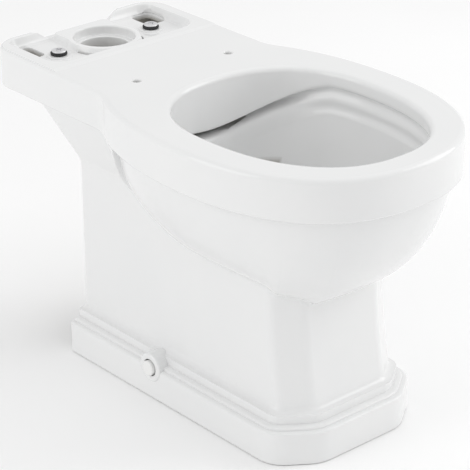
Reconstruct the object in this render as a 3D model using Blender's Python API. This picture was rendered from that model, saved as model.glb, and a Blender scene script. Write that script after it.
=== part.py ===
"""Close-coupled rimless WC pan in glazed vitreous china, with its cistern bolts and its floor fixings.

Metres, +Z up. The front of the bowl faces -Y and the cistern platform lies towards +Y. The origin is on the
floor, under the middle of the object's box.
"""

import math

import bmesh
import bpy
from mathutils import Matrix, Vector

# Overall size
LENGTH = 0.670
HEIGHT = 0.420
BOWL_WIDTH = 0.370
REAR = LENGTH / 2
FRONT = -LENGTH / 2
DECK_DROP = 0.002
DECK = HEIGHT - DECK_DROP

# Cistern platform and its waist
SHELF_WIDTH = 0.280
SHELF_THICKNESS = 0.056
SHELF_CORNER = 0.036
SHELF_EDGE_ROUND = 0.003
SHELF_HALF = SHELF_WIDTH / 2
SHELF_UNDERSIDE = HEIGHT - SHELF_THICKNESS
WAIST_REACH = 0.016
PLATFORM_DEPTH = 0.137
PLATFORM_RAMP = 0.008
PLATFORM_INSET = 0.003
PLATFORM_EDGE_ROUND = 0.0015

# Oval of the rim, in plan
BOWL_CENTRE_SETBACK = 0.440
BOWL_CENTRE = REAR - BOWL_CENTRE_SETBACK
BOWL_HALF = BOWL_WIDTH / 2
BOWL_FRONT_REACH = BOWL_CENTRE - FRONT
BOWL_REAR_REACH = 0.280
BOWL_FRONT_POWER = 2.3
BOWL_REAR_POWER = 2.2
RIM_BAND = 0.057
RIM_EDGE_ROUND = 0.007
BAND_FOOT_ROUND = 0.003
BAND_OVERHANG = 0.014
BAND_FOOT = DECK - RIM_BAND

# Opening of the bowl and the rimless wall under it
OPENING_CENTRE_SETBACK = 0.4415
OPENING_CENTRE = REAR - OPENING_CENTRE_SETBACK
RIM_SIDE_LAND = 0.049
OPENING_HALF = BOWL_HALF - RIM_SIDE_LAND
RIM_FRONT_LAND = 0.0385
OPENING_FRONT_REACH = OPENING_CENTRE - FRONT - RIM_FRONT_LAND
OPENING_REAR_REACH = 0.1435
OPENING_POWER = 2.35
OPENING_EDGE_ROUND = 0.007
SPLASH_WALL = 0.021
APRON_DROP = 0.071
APRON_INSET = 0.008
APRON_HALF = OPENING_HALF - APRON_INSET
UNDERCUT = 0.014
UNDERCUT_HEIGHT = 0.010
WATER_LEDGE = 0.003
WATER_LEDGE_HEIGHT = 0.015
SECOND_UNDERCUT = 0.004
WATER_LEDGE_WALL = 0.013
BASIN_START = 0.036

# Basin below the rimless wall: height, half width, and how far its rear and front lie from the rear plane
BASIN_TOP_HEIGHT_SHARE = 0.7857
BASIN_TOP = HEIGHT * BASIN_TOP_HEIGHT_SHARE
BASIN_TOP_SIDE_REACH = 0.001
BASIN_TOP_HALF = OPENING_HALF + BASIN_TOP_SIDE_REACH
BASIN_TOP_REAR = 0.298
BASIN_TOP_FRONT_LAND = 0.040
BASIN_TOP_FRONT = LENGTH - BASIN_TOP_FRONT_LAND
BASIN_MIDDLE_HEIGHT_SHARE = 0.6238
BASIN_MIDDLE = HEIGHT * BASIN_MIDDLE_HEIGHT_SHARE
BASIN_MIDDLE_SIDE_INSET = 0.028
BASIN_MIDDLE_HALF = OPENING_HALF - BASIN_MIDDLE_SIDE_INSET
BASIN_MIDDLE_REAR = 0.302
BASIN_MIDDLE_FRONT_LAND = 0.078
BASIN_MIDDLE_FRONT = LENGTH - BASIN_MIDDLE_FRONT_LAND
BASIN_LOWER_HEIGHT_SHARE = 0.4881
BASIN_LOWER = HEIGHT * BASIN_LOWER_HEIGHT_SHARE
BASIN_LOWER_HALF_SHARE = 31 / 68
BASIN_LOWER_HALF = OPENING_HALF * BASIN_LOWER_HALF_SHARE
BASIN_LOWER_REAR = 0.314
BASIN_LOWER_FRONT = 0.520
SUMP_TOP_HEIGHT_SHARE = 0.3571
SUMP_TOP = HEIGHT * SUMP_TOP_HEIGHT_SHARE
SUMP_TOP_HALF = 0.047
SUMP_TOP_REAR = 0.334
SUMP_TOP_FRONT = 0.462
SUMP_FLOOR_HEIGHT_SHARE = 0.2333
SUMP_FLOOR = HEIGHT * SUMP_FLOOR_HEIGHT_SHARE
SUMP_FLOOR_HALF = 0.026
SUMP_FLOOR_REAR = 0.352
SUMP_FLOOR_FRONT = 0.416
CHINA_WALL = 0.011

# Pedestal
PEDESTAL_WIDTH = 0.194
PEDESTAL_HALF = PEDESTAL_WIDTH / 2
PEDESTAL_REAR_SETBACK = 0.135
PEDESTAL_REAR = REAR - PEDESTAL_REAR_SETBACK
PEDESTAL_FRONT_SETBACK = 0.541
PEDESTAL_FRONT = REAR - PEDESTAL_FRONT_SETBACK
PEDESTAL_FLARE = 0.016
PEDESTAL_FLARE_POWER = 1.7
CHAMFER_SIDE_LEG = 0.026
CHAMFER_FRONT_LEG = 0.036
PEDESTAL_CORNER = 0.007
PEDESTAL_REAR_CORNER = 0.004

# Neck that widens from the pedestal to the platform
NECK_FOOT_HEIGHT_SHARE = 0.6690
NECK_FOOT = HEIGHT * NECK_FOOT_HEIGHT_SHARE
NECK_HALF = 0.132
NECK_REAR_SETBACK = 0.096
NECK_REAR = REAR - NECK_REAR_SETBACK

# Crease where the bowl leaves the pedestal
CREASE_WAIST_HEIGHT_SHARE = 0.6833
CREASE_WAIST = HEIGHT * CREASE_WAIST_HEIGHT_SHARE
CREASE_SIDE_HEIGHT_SHARE = 0.5524
CREASE_SIDE = HEIGHT * CREASE_SIDE_HEIGHT_SHARE
CREASE_FRONT_HEIGHT_SHARE = 0.4905
CREASE_FRONT = HEIGHT * CREASE_FRONT_HEIGHT_SHARE
CREASE_RUN = 0.150
CREASE_FILLET = 0.008
BOWL_BULGE_POWER = 1.6
NECK_BULGE_POWER = 1.0

# Plinth
PLINTH_OUTSET = 0.026
PLINTH_REAR_SETBACK = 0.130
PLINTH_REAR = REAR - PLINTH_REAR_SETBACK
PLINTH_BLOCK = 0.0445
PLINTH_BLOCK_ROUND = 0.0025
PLINTH_STEP = 0.003
PLINTH_FIRST_TREAD = 0.0065
PLINTH_SECOND_TREAD = 0.0085
PLINTH_BAND_TOP = 0.0615
PLINTH_TOP = 0.0725
PLINTH_FOOT_ROUND = 0.0015

# Hollow under the pan
HOLLOW_FOOT_WALL = 0.013
HOLLOW_FOOT_HEIGHT = 0.030
HOLLOW_NARROW_HEIGHT = 0.066
HOLLOW_WALL = 0.012
HOLLOW_TOP_HEIGHT_SHARE = 0.6905
HOLLOW_TOP = HEIGHT * HOLLOW_TOP_HEIGHT_SHARE
TRAY_ROOF_DROP = 0.021
TRAY_ROOF = HEIGHT - TRAY_ROOF_DROP
TRAY_FRONT_SETBACK = 0.277
TRAY_FRONT = REAR - TRAY_FRONT_SETBACK
HOLLOW_CORNER = 0.008

# Trapway and outlet
OUTLET_HEIGHT = 0.180
OUTLET_END_SETBACK = 0.080
OUTLET_END = REAR - OUTLET_END_SETBACK
OUTLET_RADIUS = 0.051
OUTLET_BORE_RADIUS = 0.042
OUTLET_LENGTH = 0.066
OUTLET_SOCKET_RUN = 0.018
TRAP_BORE_RADIUS = 0.028
TRAP_ENTRY_Y_SETBACK = 0.376
TRAP_ENTRY_Y = REAR - TRAP_ENTRY_Y_SETBACK
TRAP_ENTRY_RISE = 0.024
TRAP_ENTRY_HEIGHT = SUMP_FLOOR + TRAP_ENTRY_RISE
TRAP_RISE_ANGLE = math.radians(48)
TRAP_FALL_ANGLE = math.radians(35)
TRAP_FOOT_BEND = 0.050
TRAP_CROWN_BEND = 0.048
TRAP_LAST_BEND = 0.050

# Flush way from the cistern to the apron
INLET_Y_SETBACK = 0.070
INLET_Y = REAR - INLET_Y_SETBACK
INLET_RADIUS = 0.042
INLET_EDGE_ROUND = 0.0045
INLET_STEP_DEPTH = 0.018
INLET_NECK_RADIUS = 0.034
INLET_WALL_RADIUS = 0.056
DUCT_HALF = 0.037
DUCT_WALL = 0.009
DUCT_FLOOR_DROP = 0.068
DUCT_FLOOR = HEIGHT - DUCT_FLOOR_DROP
DUCT_ROOF_DROP = 0.034
DUCT_ROOF = HEIGHT - DUCT_ROOF_DROP
CHAMBER_HALF = 0.062
CHAMBER_FLOOR_DROP = 0.082
CHAMBER_FLOOR = HEIGHT - CHAMBER_FLOOR_DROP
APRON_THICKNESS = 0.007
CHAMBER_FRONT = OPENING_CENTRE + OPENING_REAR_REACH + APRON_THICKNESS
CHAMBER_LENGTH = 0.029
CHAMBER_REAR = CHAMBER_FRONT + CHAMBER_LENGTH

# Pocket of the cistern platform, the inlet's seat in it and the gap to the rear
POCKET_DEPTH = 0.0135
POCKET_OUTER = 0.121
POCKET_REAR_SETBACK = 0.009
POCKET_REAR = REAR - POCKET_REAR_SETBACK
POCKET_FRONT_SETBACK = 0.125
POCKET_FRONT = REAR - POCKET_FRONT_SETBACK
POCKET_CORNER = 0.016
POCKET_FRONT_CORNER = 0.028
POCKET_SIDE_SLOPE = 0.004
POCKET_REAR_SLOPE = 0.007
POCKET_FRONT_SLOPE = 0.016
POCKET_WALL_SHARES = ((0, 0), (0.25, 0.16), (0.62, 0.44), (0.88, 0.74), (1, 1))
POCKET_LIP_SHARE = 0.12
SEAT_DROP = 0.0045
SEAT_TOP = HEIGHT - SEAT_DROP
SEAT_RADIUS = 0.050
SEAT_HALF = 0.045
SEAT_REAR_SETBACK = 0.0135
SEAT_REAR = REAR - SEAT_REAR_SETBACK
SEAT_CORNER = 0.008
SEAT_EDGE_ROUND = 0.0020
SEAT_DRAFT = 0.0015
GAP_REAR_HALF = 0.078
GAP_REAR_FLOOR_HALF = 0.058
GAP_FRONT_HALF = 0.060
GAP_FRONT_FLOOR_HALF = 0.046
GAP_RUN = 0.018
SLOT_HOLE_X = 0.1037
SLOT_HOLE_Y_SETBACK = 0.0365
SLOT_HOLE_Y = REAR - SLOT_HOLE_Y_SETBACK
SLOT_HOLE_WIDTH = 0.0315
SLOT_HOLE_LENGTH = 0.042
SLOT_HOLE_CORNER = 0.009
CRESCENT_INNER = 0.0518
CRESCENT_OUTER = 0.0548
CRESCENT_DEPTH = 0.0270
CRESCENT_START = math.radians(-46)
CRESCENT_END = math.radians(-10)

# Cistern bolts
BOLT_SPACING = 0.158
BOLT_X = BOLT_SPACING / 2
BOLT_Y_SETBACK = 0.073
BOLT_Y = REAR - BOLT_Y_SETBACK
BOLT_PAD_RADIUS = 0.0165
BOLT_PAD_RISE = 0.002
BOLT_HOLE_RADIUS = 0.005
BOLT_RADIUS = 0.0038
BOLT_LENGTH = 0.058
BOLT_END_CHAMFER = 0.0008
BOLT_HEAD_RADIUS = 0.0092
BOLT_HEAD_HEIGHT = 0.0028
BOLT_HEAD_RIM = 0.0012
CROSS_LENGTH = 0.0090
CROSS_WIDTH = 0.0022
CROSS_DEPTH = 0.0016
RUBBER_RADIUS = 0.0114
RUBBER_THICKNESS = 0.0038
RUBBER_ROUND = 0.0008
LOWER_RUBBER_RADIUS = 0.0105
LOWER_RUBBER_THICKNESS = 0.003
STEEL_WASHER_RADIUS = 0.0100
STEEL_WASHER_THICKNESS = 0.0014
WING_HUB_RADIUS = 0.0075
WING_HUB_HEIGHT = 0.0090
WING_SPAN = 0.034
WING_ROOT = 0.0055
WING_HEIGHT = 0.016
WING_THICKNESS = 0.003

# Seat hinge holes
HINGE_SPACING = 0.155
HINGE_Y_SETBACK = 0.237
HINGE_Y = REAR - HINGE_Y_SETBACK
HINGE_HOLE_RADIUS = 0.0055
HINGE_HOLE_ROUND = 0.0030

# Side fixings
FIXING_Y_SETBACK = 0.308
FIXING_Y = REAR - FIXING_Y_SETBACK
FIXING_HEIGHT = 0.045
FIXING_HOLE_RADIUS = 0.0120
FIXING_BOSS_RADIUS = 0.020
FIXING_BOSS_PROUD = 0.0015
FIXING_BOSS_ROUND = 0.0022
FIXING_BOSS_DEPTH = 0.023
SLEEVE_SET_BACK = 0.0045
SLEEVE_COLLAR_RADIUS = 0.0080
SLEEVE_BORE_RADIUS = 0.0036
SLEEVE_INNER_END = 0.0365
SCREW_RADIUS = 0.0030
SCREW_HEAD_RADIUS = 0.0056
SCREW_HEAD_HEIGHT = 0.0028
SCREW_LENGTH = 0.052
CAP_RADIUS = 0.0103
CAP_PROUD = 0.0058
CAP_WALL = 0.0013
CAP_EDGE_ROUND = 0.0016
CAP_SKIRT = 0.0025
BRACKET_THICKNESS = 0.003
BRACKET_WIDTH = 0.034
BRACKET_HEIGHT = 0.060
BRACKET_FOOT = 0.040
BRACKET_BEND = 0.006
BRACKET_FOOT_HOLE_RADIUS = 0.0045
BRACKET_FOOT_HOLE_REACH = 0.026
BRACKET_HOLE_RADIUS = 0.0036
NUT_ACROSS_CORNERS = 0.0115
NUT_THICKNESS = 0.005
NUT_DIVISIONS = 18

SIDES = {1: "right", -1: "left"}

# Clearances and overruns
SEAT_GAP = 0.0003
BORE_CLEARANCE = 0.0003
OVERRUN = 0.010

# Seams that divide the casting into simple pieces, and the reach of the pieces inside it
SEAM_MARGIN = 0.002
RIM_SEAM_RISE = 0.004
REAR_SEAM_REACH = 0.006
REAR_SEAM = CHAMBER_FRONT + REAR_SEAM_REACH
PLINTH_SEAM = PLINTH_TOP
BOWL_SEAM = CREASE_FRONT - CREASE_FILLET - SEAM_MARGIN
NECK_SEAM = NECK_FOOT
RIM_SEAM = BAND_FOOT + RIM_SEAM_RISE
SLAB_SEAM = TRAY_ROOF - SEAM_MARGIN
DECK_SEAM = REAR - PLATFORM_DEPTH + SEAM_MARGIN
SUMP_SEAM = REAR - SUMP_TOP_REAR + CHINA_WALL + SEAM_MARGIN
OUTLET_SEAM = OUTLET_END - OUTLET_LENGTH
REGION_HALF = BOWL_HALF + OVERRUN
LENGTHWISE_SEAM = 0.005
CORE_CLEARANCE = 0.0005

# Shares
DIAGONAL_SHARE = math.cos(math.radians(45))
FILLET_SHARES = (0.3333, 0.6667)
RAMP_TOP_SHARE = 0.3333
SUMP_CORNER_SHARE = 0.55

# Mesh divisions
REAR_DIVISIONS = 2
CORNER_DIVISIONS = 4
SHELF_SIDE_DIVISIONS = 3
WAIST_DIVISIONS = 4
BOWL_SIDE_DIVISIONS = 11
CHAMFER_CORNER_DIVISIONS = 2
CHAMFER_DIVISIONS = 2
FRONT_DIVISIONS = 4
OPENING_DIVISIONS = 44
TRAP_DIVISIONS = 16
BASIN_LEVEL_DIVISIONS = 2
INLET_DIVISIONS = 32
ROUND_DIVISIONS = 20
BULGE_ANGLES = [math.radians(a) for a in (13, 27, 41, 55, 68, 80, 90)]

SHADE_ANGLE = math.radians(32)


# Materials

def material(name, colour, roughness, metallic=0.0, coat=0.0):
    """A Principled material for one kind of piece."""
    made = bpy.data.materials.new(name)
    made.use_nodes = True
    shader = made.node_tree.nodes["Principled BSDF"]
    shader.inputs["Base Color"].default_value = (*colour, 1.0)
    shader.inputs["Roughness"].default_value = roughness
    shader.inputs["Metallic"].default_value = metallic
    shader.inputs["Coat Weight"].default_value = coat
    made.diffuse_color = (*colour, 1.0)
    return made


# Mesh helpers

def smooth(mesh):
    """Shades a mesh smooth and keeps its real edges sharp."""
    mesh.polygons.foreach_set("use_smooth", [True] * len(mesh.polygons))
    mesh.set_sharp_from_angle(angle=SHADE_ANGLE)


def add_object(name, work, finish=None):
    """Turns a bmesh into a named object of the scene."""
    bmesh.ops.recalc_face_normals(work, faces=work.faces)
    mesh = bpy.data.meshes.new(name)
    work.to_mesh(mesh)
    work.free()
    smooth(mesh)
    made = bpy.data.objects.new(name, mesh)
    bpy.context.scene.collection.objects.link(made)
    if finish is not None:
        mesh.materials.append(finish)
    return made


def loft(rings):
    """A closed bmesh through rings of equally many points, with flat ends."""
    work = bmesh.new()
    made = [[work.verts.new(point) for point in ring] for ring in rings]
    count = len(rings[0])
    for low, high in zip(made, made[1:]):
        for i in range(count):
            j = (i + 1) % count
            work.faces.new((low[i], low[j], high[j], high[i]))
    work.faces.new(made[0])
    work.faces.new(made[-1])
    return work


def turned(profile, divisions, bore=False):
    """A closed bmesh turned about Z from (radius, height) points; a bore joins the last to the first."""
    work = bmesh.new()
    rings = []
    for radius, height in profile:
        if radius == 0:
            rings.append([work.verts.new((0, 0, height))])
            continue
        turn = [2 * math.pi * i / divisions for i in range(divisions)]
        rings.append([work.verts.new((radius * math.cos(a), radius * math.sin(a), height)) for a in turn])
    pairs = list(zip(rings, rings[1:]))
    if bore:
        pairs.append((rings[-1], rings[0]))
    for low, high in pairs:
        for i in range(divisions):
            j = (i + 1) % divisions
            corners = [low[i % len(low)], low[j % len(low)], high[j % len(high)], high[i % len(high)]]
            work.faces.new(list(dict.fromkeys(corners)))
    return work


def box(low, high):
    """A closed bmesh box between two corners."""
    work = bmesh.new()
    size = [b - a for a, b in zip(low, high)]
    middle = [(a + b) / 2 for a, b in zip(low, high)]
    bmesh.ops.create_cube(work, size=1, matrix=Matrix.Translation(middle) @ Matrix.Diagonal((*size, 1)))
    return work


def prism(outline, low, high):
    """A closed bmesh of a plan outline between two heights."""
    return loft([[(x, y, z) for x, y in outline] for z in (low, high)])


def placed(work, matrix):
    """Moves a bmesh to its place."""
    work.transform(matrix)
    return work


def mirrored(work, side):
    """The piece for one side: side 1 is +X, side -1 is its mirror image."""
    if side < 0:
        work.transform(Matrix.Scale(-1, 4, Vector((1, 0, 0))))
    return work


def cutter(name, work):
    """An object that only shapes others."""
    made = add_object(name, work)
    made.hide_render = True
    made.display_type = "WIRE"
    return made


def combine(target, tool, operation):
    """Joins, cuts or trims a piece by another with an exact Boolean."""
    modifier = target.modifiers.new(tool.name, "BOOLEAN")
    modifier.operation = operation
    modifier.solver = "EXACT"
    modifier.object = tool
    return target


# Plan outlines

def between(start, end, count):
    """Points from start towards end, without the end itself."""
    a, b = Vector(start), Vector(end)
    return [tuple(a.lerp(b, i / count)) for i in range(count)]


def quadratic(start, control, end, count):
    """Points of a quadratic curve, without its end."""
    a, c, b = Vector(start), Vector(control), Vector(end)
    points = []
    for i in range(count):
        t = i / count
        points.append(tuple(a.lerp(c, t).lerp(c.lerp(b, t), t)))
    return points


def rounded(before, corner, after, radius, count):
    """A corner drawn as a curve that starts and ends one radius away from it."""
    c = Vector(corner)
    start = c + (Vector(before) - c).normalized() * radius
    end = c + (Vector(after) - c).normalized() * radius
    return quadratic(start, corner, end, count), tuple(end)


def oval_radius(angle, half, front, rear, front_power, rear_power):
    """Distance from the oval's centre to its edge; an angle below zero looks to the front."""
    reach, power = (front, front_power) if angle < 0 else (rear, rear_power)
    across = abs(math.cos(angle) / half) ** power
    along = abs(math.sin(angle) / reach) ** power
    return (across + along) ** (-1 / power)


def bowl_oval(angle):
    """A point of the rim's oval."""
    r = oval_radius(angle, BOWL_HALF, BOWL_FRONT_REACH, BOWL_REAR_REACH, BOWL_FRONT_POWER, BOWL_REAR_POWER)
    return r * math.cos(angle), BOWL_CENTRE + r * math.sin(angle)


def oval_y(x):
    """Y of the rear part of the rim's oval at a given X."""
    share = (1 - (x / BOWL_HALF) ** BOWL_REAR_POWER) ** (1 / BOWL_REAR_POWER)
    return BOWL_CENTRE + BOWL_REAR_REACH * share


def oval_x(y):
    """X of the rear part of the rim's oval at a given Y."""
    share = (1 - ((y - BOWL_CENTRE) / BOWL_REAR_REACH) ** BOWL_REAR_POWER) ** (1 / BOWL_REAR_POWER)
    return BOWL_HALF * share


WAIST_Y = oval_y(SHELF_HALF)
WAIST_END_Y = WAIST_Y - WAIST_REACH
WAIST_END = (oval_x(WAIST_END_Y), WAIST_END_Y)
WAIST_END_ANGLE = math.atan2(WAIST_END[1] - BOWL_CENTRE, WAIST_END[0])
FIRST_CORNER_ANGLES = (math.radians(-38), math.radians(-46))
SECOND_CORNER_ANGLES = (math.radians(-58), math.radians(-65))


def oval_part(start, end, count):
    """Points of the rim's oval between two angles, without the last."""
    return [bowl_oval(start + (end - start) * i / count) for i in range(count)]


def oval_front():
    """The half oval from the waist to the middle of the front, in the same steps as the pedestal."""
    first, second = FIRST_CORNER_ANGLES, SECOND_CORNER_ANGLES
    points = oval_part(WAIST_END_ANGLE, first[0], BOWL_SIDE_DIVISIONS)
    points += oval_part(first[0], first[1], CHAMFER_CORNER_DIVISIONS)
    points += oval_part(first[1], second[0], CHAMFER_DIVISIONS)
    points += oval_part(second[0], second[1], CHAMFER_CORNER_DIVISIONS)
    points += oval_part(second[1], -math.pi / 2, FRONT_DIVISIONS)
    return points + [(0, FRONT)]


def shelf_part(half, rear, corner, waist_start, waist_end):
    """The half outline of a platform or neck, from the middle of its rear edge to the waist."""
    edge = (half - corner, rear)
    side = (half, rear - corner)
    points = between((0, rear), edge, REAR_DIVISIONS)
    points += quadratic_arc(edge, (half, rear), side, CORNER_DIVISIONS)
    points += between(side, waist_start, SHELF_SIDE_DIVISIONS)
    points += quadratic(waist_start, (half, WAIST_Y), waist_end, WAIST_DIVISIONS)
    return points


def quadratic_arc(start, corner, end, count):
    """A quarter turn from start to end round a square corner, without its end."""
    centre = Vector(start) + Vector(end) - Vector(corner)
    points = []
    for i in range(count):
        a = math.pi / 2 * i / count
        turned_part = (Vector(start) - centre) * math.cos(a) + (Vector(end) - centre) * math.sin(a)
        points.append(tuple(centre + turned_part))
    return points


def top_outline():
    """Half outline of the platform and the rim, from the middle of the rear to the middle of the front."""
    start = (SHELF_HALF, WAIST_Y + WAIST_REACH)
    return shelf_part(SHELF_HALF, REAR, SHELF_CORNER, start, WAIST_END) + oval_front()


def moved_out(points, distances):
    """Moves each point of a half outline outwards, square to the outline, by its own distance."""
    result = []
    last = len(points) - 1
    for i, point in enumerate(points):
        before = points[i - 1] if i else (-points[1][0], points[1][1])
        after = points[i + 1] if i < last else (-points[last - 1][0], points[last - 1][1])
        along = (Vector(after) - Vector(before)).normalized()
        outward = Vector((-along.y, along.x))
        result.append(tuple(Vector(point) + outward * distances[i]))
    return result


def under_outline():
    """Half outline of the neck and of the bowl just under the band."""
    neck_waist = (NECK_HALF, WAIST_Y + WAIST_REACH)
    oval = oval_front()
    inner = moved_out(oval, [-BAND_OVERHANG] * len(oval))
    return shelf_part(NECK_HALF, NECK_REAR, PEDESTAL_REAR_CORNER, neck_waist, inner[0]) + inner


def pedestal_outline(height):
    """Half outline of the pedestal at a height; its front flares out towards the plinth."""
    rise = (height - PLINTH_TOP) / (CREASE_FRONT - PLINTH_TOP)
    flare = PEDESTAL_FLARE * max(0.0, 1 - rise) ** PEDESTAL_FLARE_POWER
    front = PEDESTAL_FRONT - flare
    half = PEDESTAL_HALF
    rear = PEDESTAL_REAR
    first = (half, front + CHAMFER_SIDE_LEG)
    second = (half - CHAMFER_FRONT_LEG, front)
    waist_top = (half, WAIST_Y + WAIST_REACH)
    waist_foot = (half, WAIST_END_Y)
    points = between((0, rear), (half - PEDESTAL_REAR_CORNER, rear), REAR_DIVISIONS)
    side = (half, rear - PEDESTAL_REAR_CORNER)
    points += quadratic_arc((half - PEDESTAL_REAR_CORNER, rear), (half, rear), side, CORNER_DIVISIONS)
    points += between(side, waist_top, SHELF_SIDE_DIVISIONS)
    points += between(waist_top, waist_foot, WAIST_DIVISIONS)
    one, one_end = rounded(waist_foot, first, second, PEDESTAL_CORNER, CHAMFER_CORNER_DIVISIONS)
    two, two_end = rounded(first, second, (0, front), PEDESTAL_CORNER, CHAMFER_CORNER_DIVISIONS)
    points += between(waist_foot, one[0], BOWL_SIDE_DIVISIONS) + one
    points += between(one_end, two[0], CHAMFER_DIVISIONS) + two
    points += between(two_end, (0, front), FRONT_DIVISIONS)
    return points + [(0, front)]


def station_table():
    """For each point of a half outline: crease height, bulge power, band foot and edge rounding."""
    counts = [REAR_DIVISIONS + CORNER_DIVISIONS, SHELF_SIDE_DIVISIONS, WAIST_DIVISIONS, BOWL_SIDE_DIVISIONS]
    shelf, side, waist, bowl = counts
    corner = 2 * CHAMFER_CORNER_DIVISIONS + CHAMFER_DIVISIONS
    total = sum(counts) + corner + FRONT_DIVISIONS + 1
    outline = pedestal_outline(CREASE_SIDE)
    rows = []
    for i in range(total):
        turn = min(1.0, max(0.0, (i - shelf - side) / waist))
        drop = min(1.0, max(0.0, (WAIST_Y - outline[i][1]) / CREASE_RUN))
        crease = CREASE_SIDE + (CREASE_WAIST - CREASE_SIDE) * (1 - drop) ** 2
        crease = NECK_FOOT + (crease - NECK_FOOT) * turn
        round_front = min(1.0, max(0.0, (i - sum(counts)) / corner))
        crease += (CREASE_FRONT - CREASE_SIDE) * round_front
        power = NECK_BULGE_POWER + (BOWL_BULGE_POWER - NECK_BULGE_POWER) * turn
        foot = SHELF_UNDERSIDE + (BAND_FOOT - SHELF_UNDERSIDE) * turn
        along = min(1.0, max(0.0, (i - shelf) / (side + waist)))
        edge = SHELF_EDGE_ROUND + (RIM_EDGE_ROUND - SHELF_EDGE_ROUND) * along
        rows.append((crease, power, foot, edge))
    return rows


def full_ring(half):
    """A whole ring from half of it, the other half mirrored across X = 0."""
    return half + [(-x, y, z) for x, y, z in reversed(half[1:-1])]


# Pan

def plinth_rows():
    """Rows of the plinth, each a distance out from the pedestal and a height."""
    out = PLINTH_OUTSET
    block = PLINTH_BLOCK
    edge = PLINTH_BLOCK_ROUND
    half_edge = edge * (1 - DIAGONAL_SHARE)
    first = out - PLINTH_FIRST_TREAD
    second = first - PLINTH_SECOND_TREAD
    tread = block + PLINTH_STEP
    band = tread + PLINTH_STEP
    rows = [(out - PLINTH_FOOT_ROUND, 0.0), (out, PLINTH_FOOT_ROUND), (out, block - edge)]
    rows += [(out - half_edge, block - half_edge), (out - edge, block), (first, block)]
    rows += [(first, tread - half_edge), (first - edge, tread + half_edge)]
    rows += [(second + edge, tread + half_edge)]
    rows += [(second, band), (second, PLINTH_BAND_TOP)]
    for i in (1, 2, 3):
        a = math.pi / 2 * i / 4
        drop = second * (1 - math.sin(a))
        rows.append((drop, PLINTH_TOP - (PLINTH_TOP - PLINTH_BAND_TOP) * math.cos(a)))
    return rows


def skin_rings():
    """Rings of the pan's outer skin, from the floor to the flat deck."""
    table = station_table()
    foot = pedestal_outline(PLINTH_TOP)
    rings = []
    for out, height in plinth_rows():
        outline = moved_out(foot, [out] * len(foot))
        share = (PLINTH_REAR - PEDESTAL_REAR) / PLINTH_OUTSET
        rings.append([(x, min(y, PEDESTAL_REAR + (y - PEDESTAL_REAR) * share), height) for x, y in outline])
    rings.append([(x, y, PLINTH_TOP) for x, y in foot])
    steps = range(len(table))
    creases = [row[0] for row in table]
    middle = [(PLINTH_TOP + z) / 2 for z in creases]
    start = [z - CREASE_FILLET for z in creases]
    for heights in (middle, start):
        outlines = [pedestal_outline(z)[i] for i, z in enumerate(heights)]
        rings.append([(*outlines[i], heights[i]) for i in steps])
    pedestal = [pedestal_outline(z)[i] for i, z in enumerate(creases)]
    under = under_outline()

    def bulge(i, angle):
        crease, power, top, _ = table[i]
        out = math.sin(angle) ** (2 / power)
        down = math.cos(angle) ** (2 / power)
        point = Vector(pedestal[i]).lerp(Vector(under[i]), out)
        return Vector((*point, top - (top - crease) * down))

    low = rings[-1]
    for share in FILLET_SHARES:
        ring = []
        for i in steps:
            corner = Vector((*pedestal[i], creases[i]))
            end = bulge(i, BULGE_ANGLES[0])
            ring.append(tuple(Vector(low[i]).lerp(corner, share).lerp(corner.lerp(end, share), share)))
        rings.append(ring)
    for angle in BULGE_ANGLES:
        rings.append([tuple(bulge(i, angle)) for i in steps])
    top = top_outline()
    feet = [row[2] for row in table]
    edges = [row[3] for row in table]
    corner_share = 1 - DIAGONAL_SHARE
    for share, lift in ((1, 0), (corner_share, corner_share), (0, 1)):
        outline = moved_out(top, [-BAND_FOOT_ROUND * share] * len(top))
        rings.append([(*outline[i], feet[i] + BAND_FOOT_ROUND * lift) for i in steps])
    for a in (0, 30, 60, 90):
        angle = math.radians(a)
        inset = [-edges[i] * (1 - math.cos(angle)) for i in steps]
        outline = moved_out(top, inset)
        rings.append([(*outline[i], DECK - edges[i] * (1 - math.sin(angle))) for i in steps])
    return [full_ring(ring) for ring in rings]


def platform_slab():
    """The raised seat of the cistern, two millimetres above the deck, with a sloping front edge."""
    front = REAR - PLATFORM_DEPTH
    rows = [(PLATFORM_INSET, DECK - PLATFORM_INSET, PLATFORM_RAMP), (PLATFORM_INSET, DECK, PLATFORM_RAMP)]
    rows += [(PLATFORM_INSET, HEIGHT - PLATFORM_EDGE_ROUND, PLATFORM_RAMP * RAMP_TOP_SHARE)]
    rows += [(PLATFORM_INSET + PLATFORM_EDGE_ROUND, HEIGHT, 0)]
    rings = []
    for inset, height, forward in rows:
        half = SHELF_HALF - inset
        rear = REAR - inset
        corner = SHELF_CORNER - inset
        edge, side = (half - corner, rear), (half, rear - corner)
        points = [(0, rear)] + quadratic_arc(edge, (half, rear), side, 2 * CORNER_DIVISIONS)
        points += [side, (half, front - forward), (0, front - forward)]
        rings.append(full_ring([(x, y, height) for x, y in points]))
    return loft(rings)


def opening_point(angle, out):
    """A point of the bowl's opening, moved out from its edge."""
    reach = (OPENING_FRONT_REACH, OPENING_REAR_REACH)
    r = oval_radius(angle, OPENING_HALF, reach[0], reach[1], OPENING_POWER, OPENING_POWER) + out
    return r * math.cos(angle), OPENING_CENTRE + r * math.sin(angle)


def splash_height(angle):
    """Depth of the splash wall under the deck: shallow at the sides, a deep apron at the rear."""
    if angle <= 0:
        return SPLASH_WALL
    x = opening_point(angle, 0)[0]
    share = max(0.0, 1 - (x / APRON_HALF) ** 2)
    return SPLASH_WALL + (APRON_DROP - SPLASH_WALL) * share


def basin_section(level):
    """Half width, rear and front of the basin at one of its named levels, and the level's height."""
    height, half, rear, front = level
    return height, half, REAR - rear, REAR - front


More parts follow.
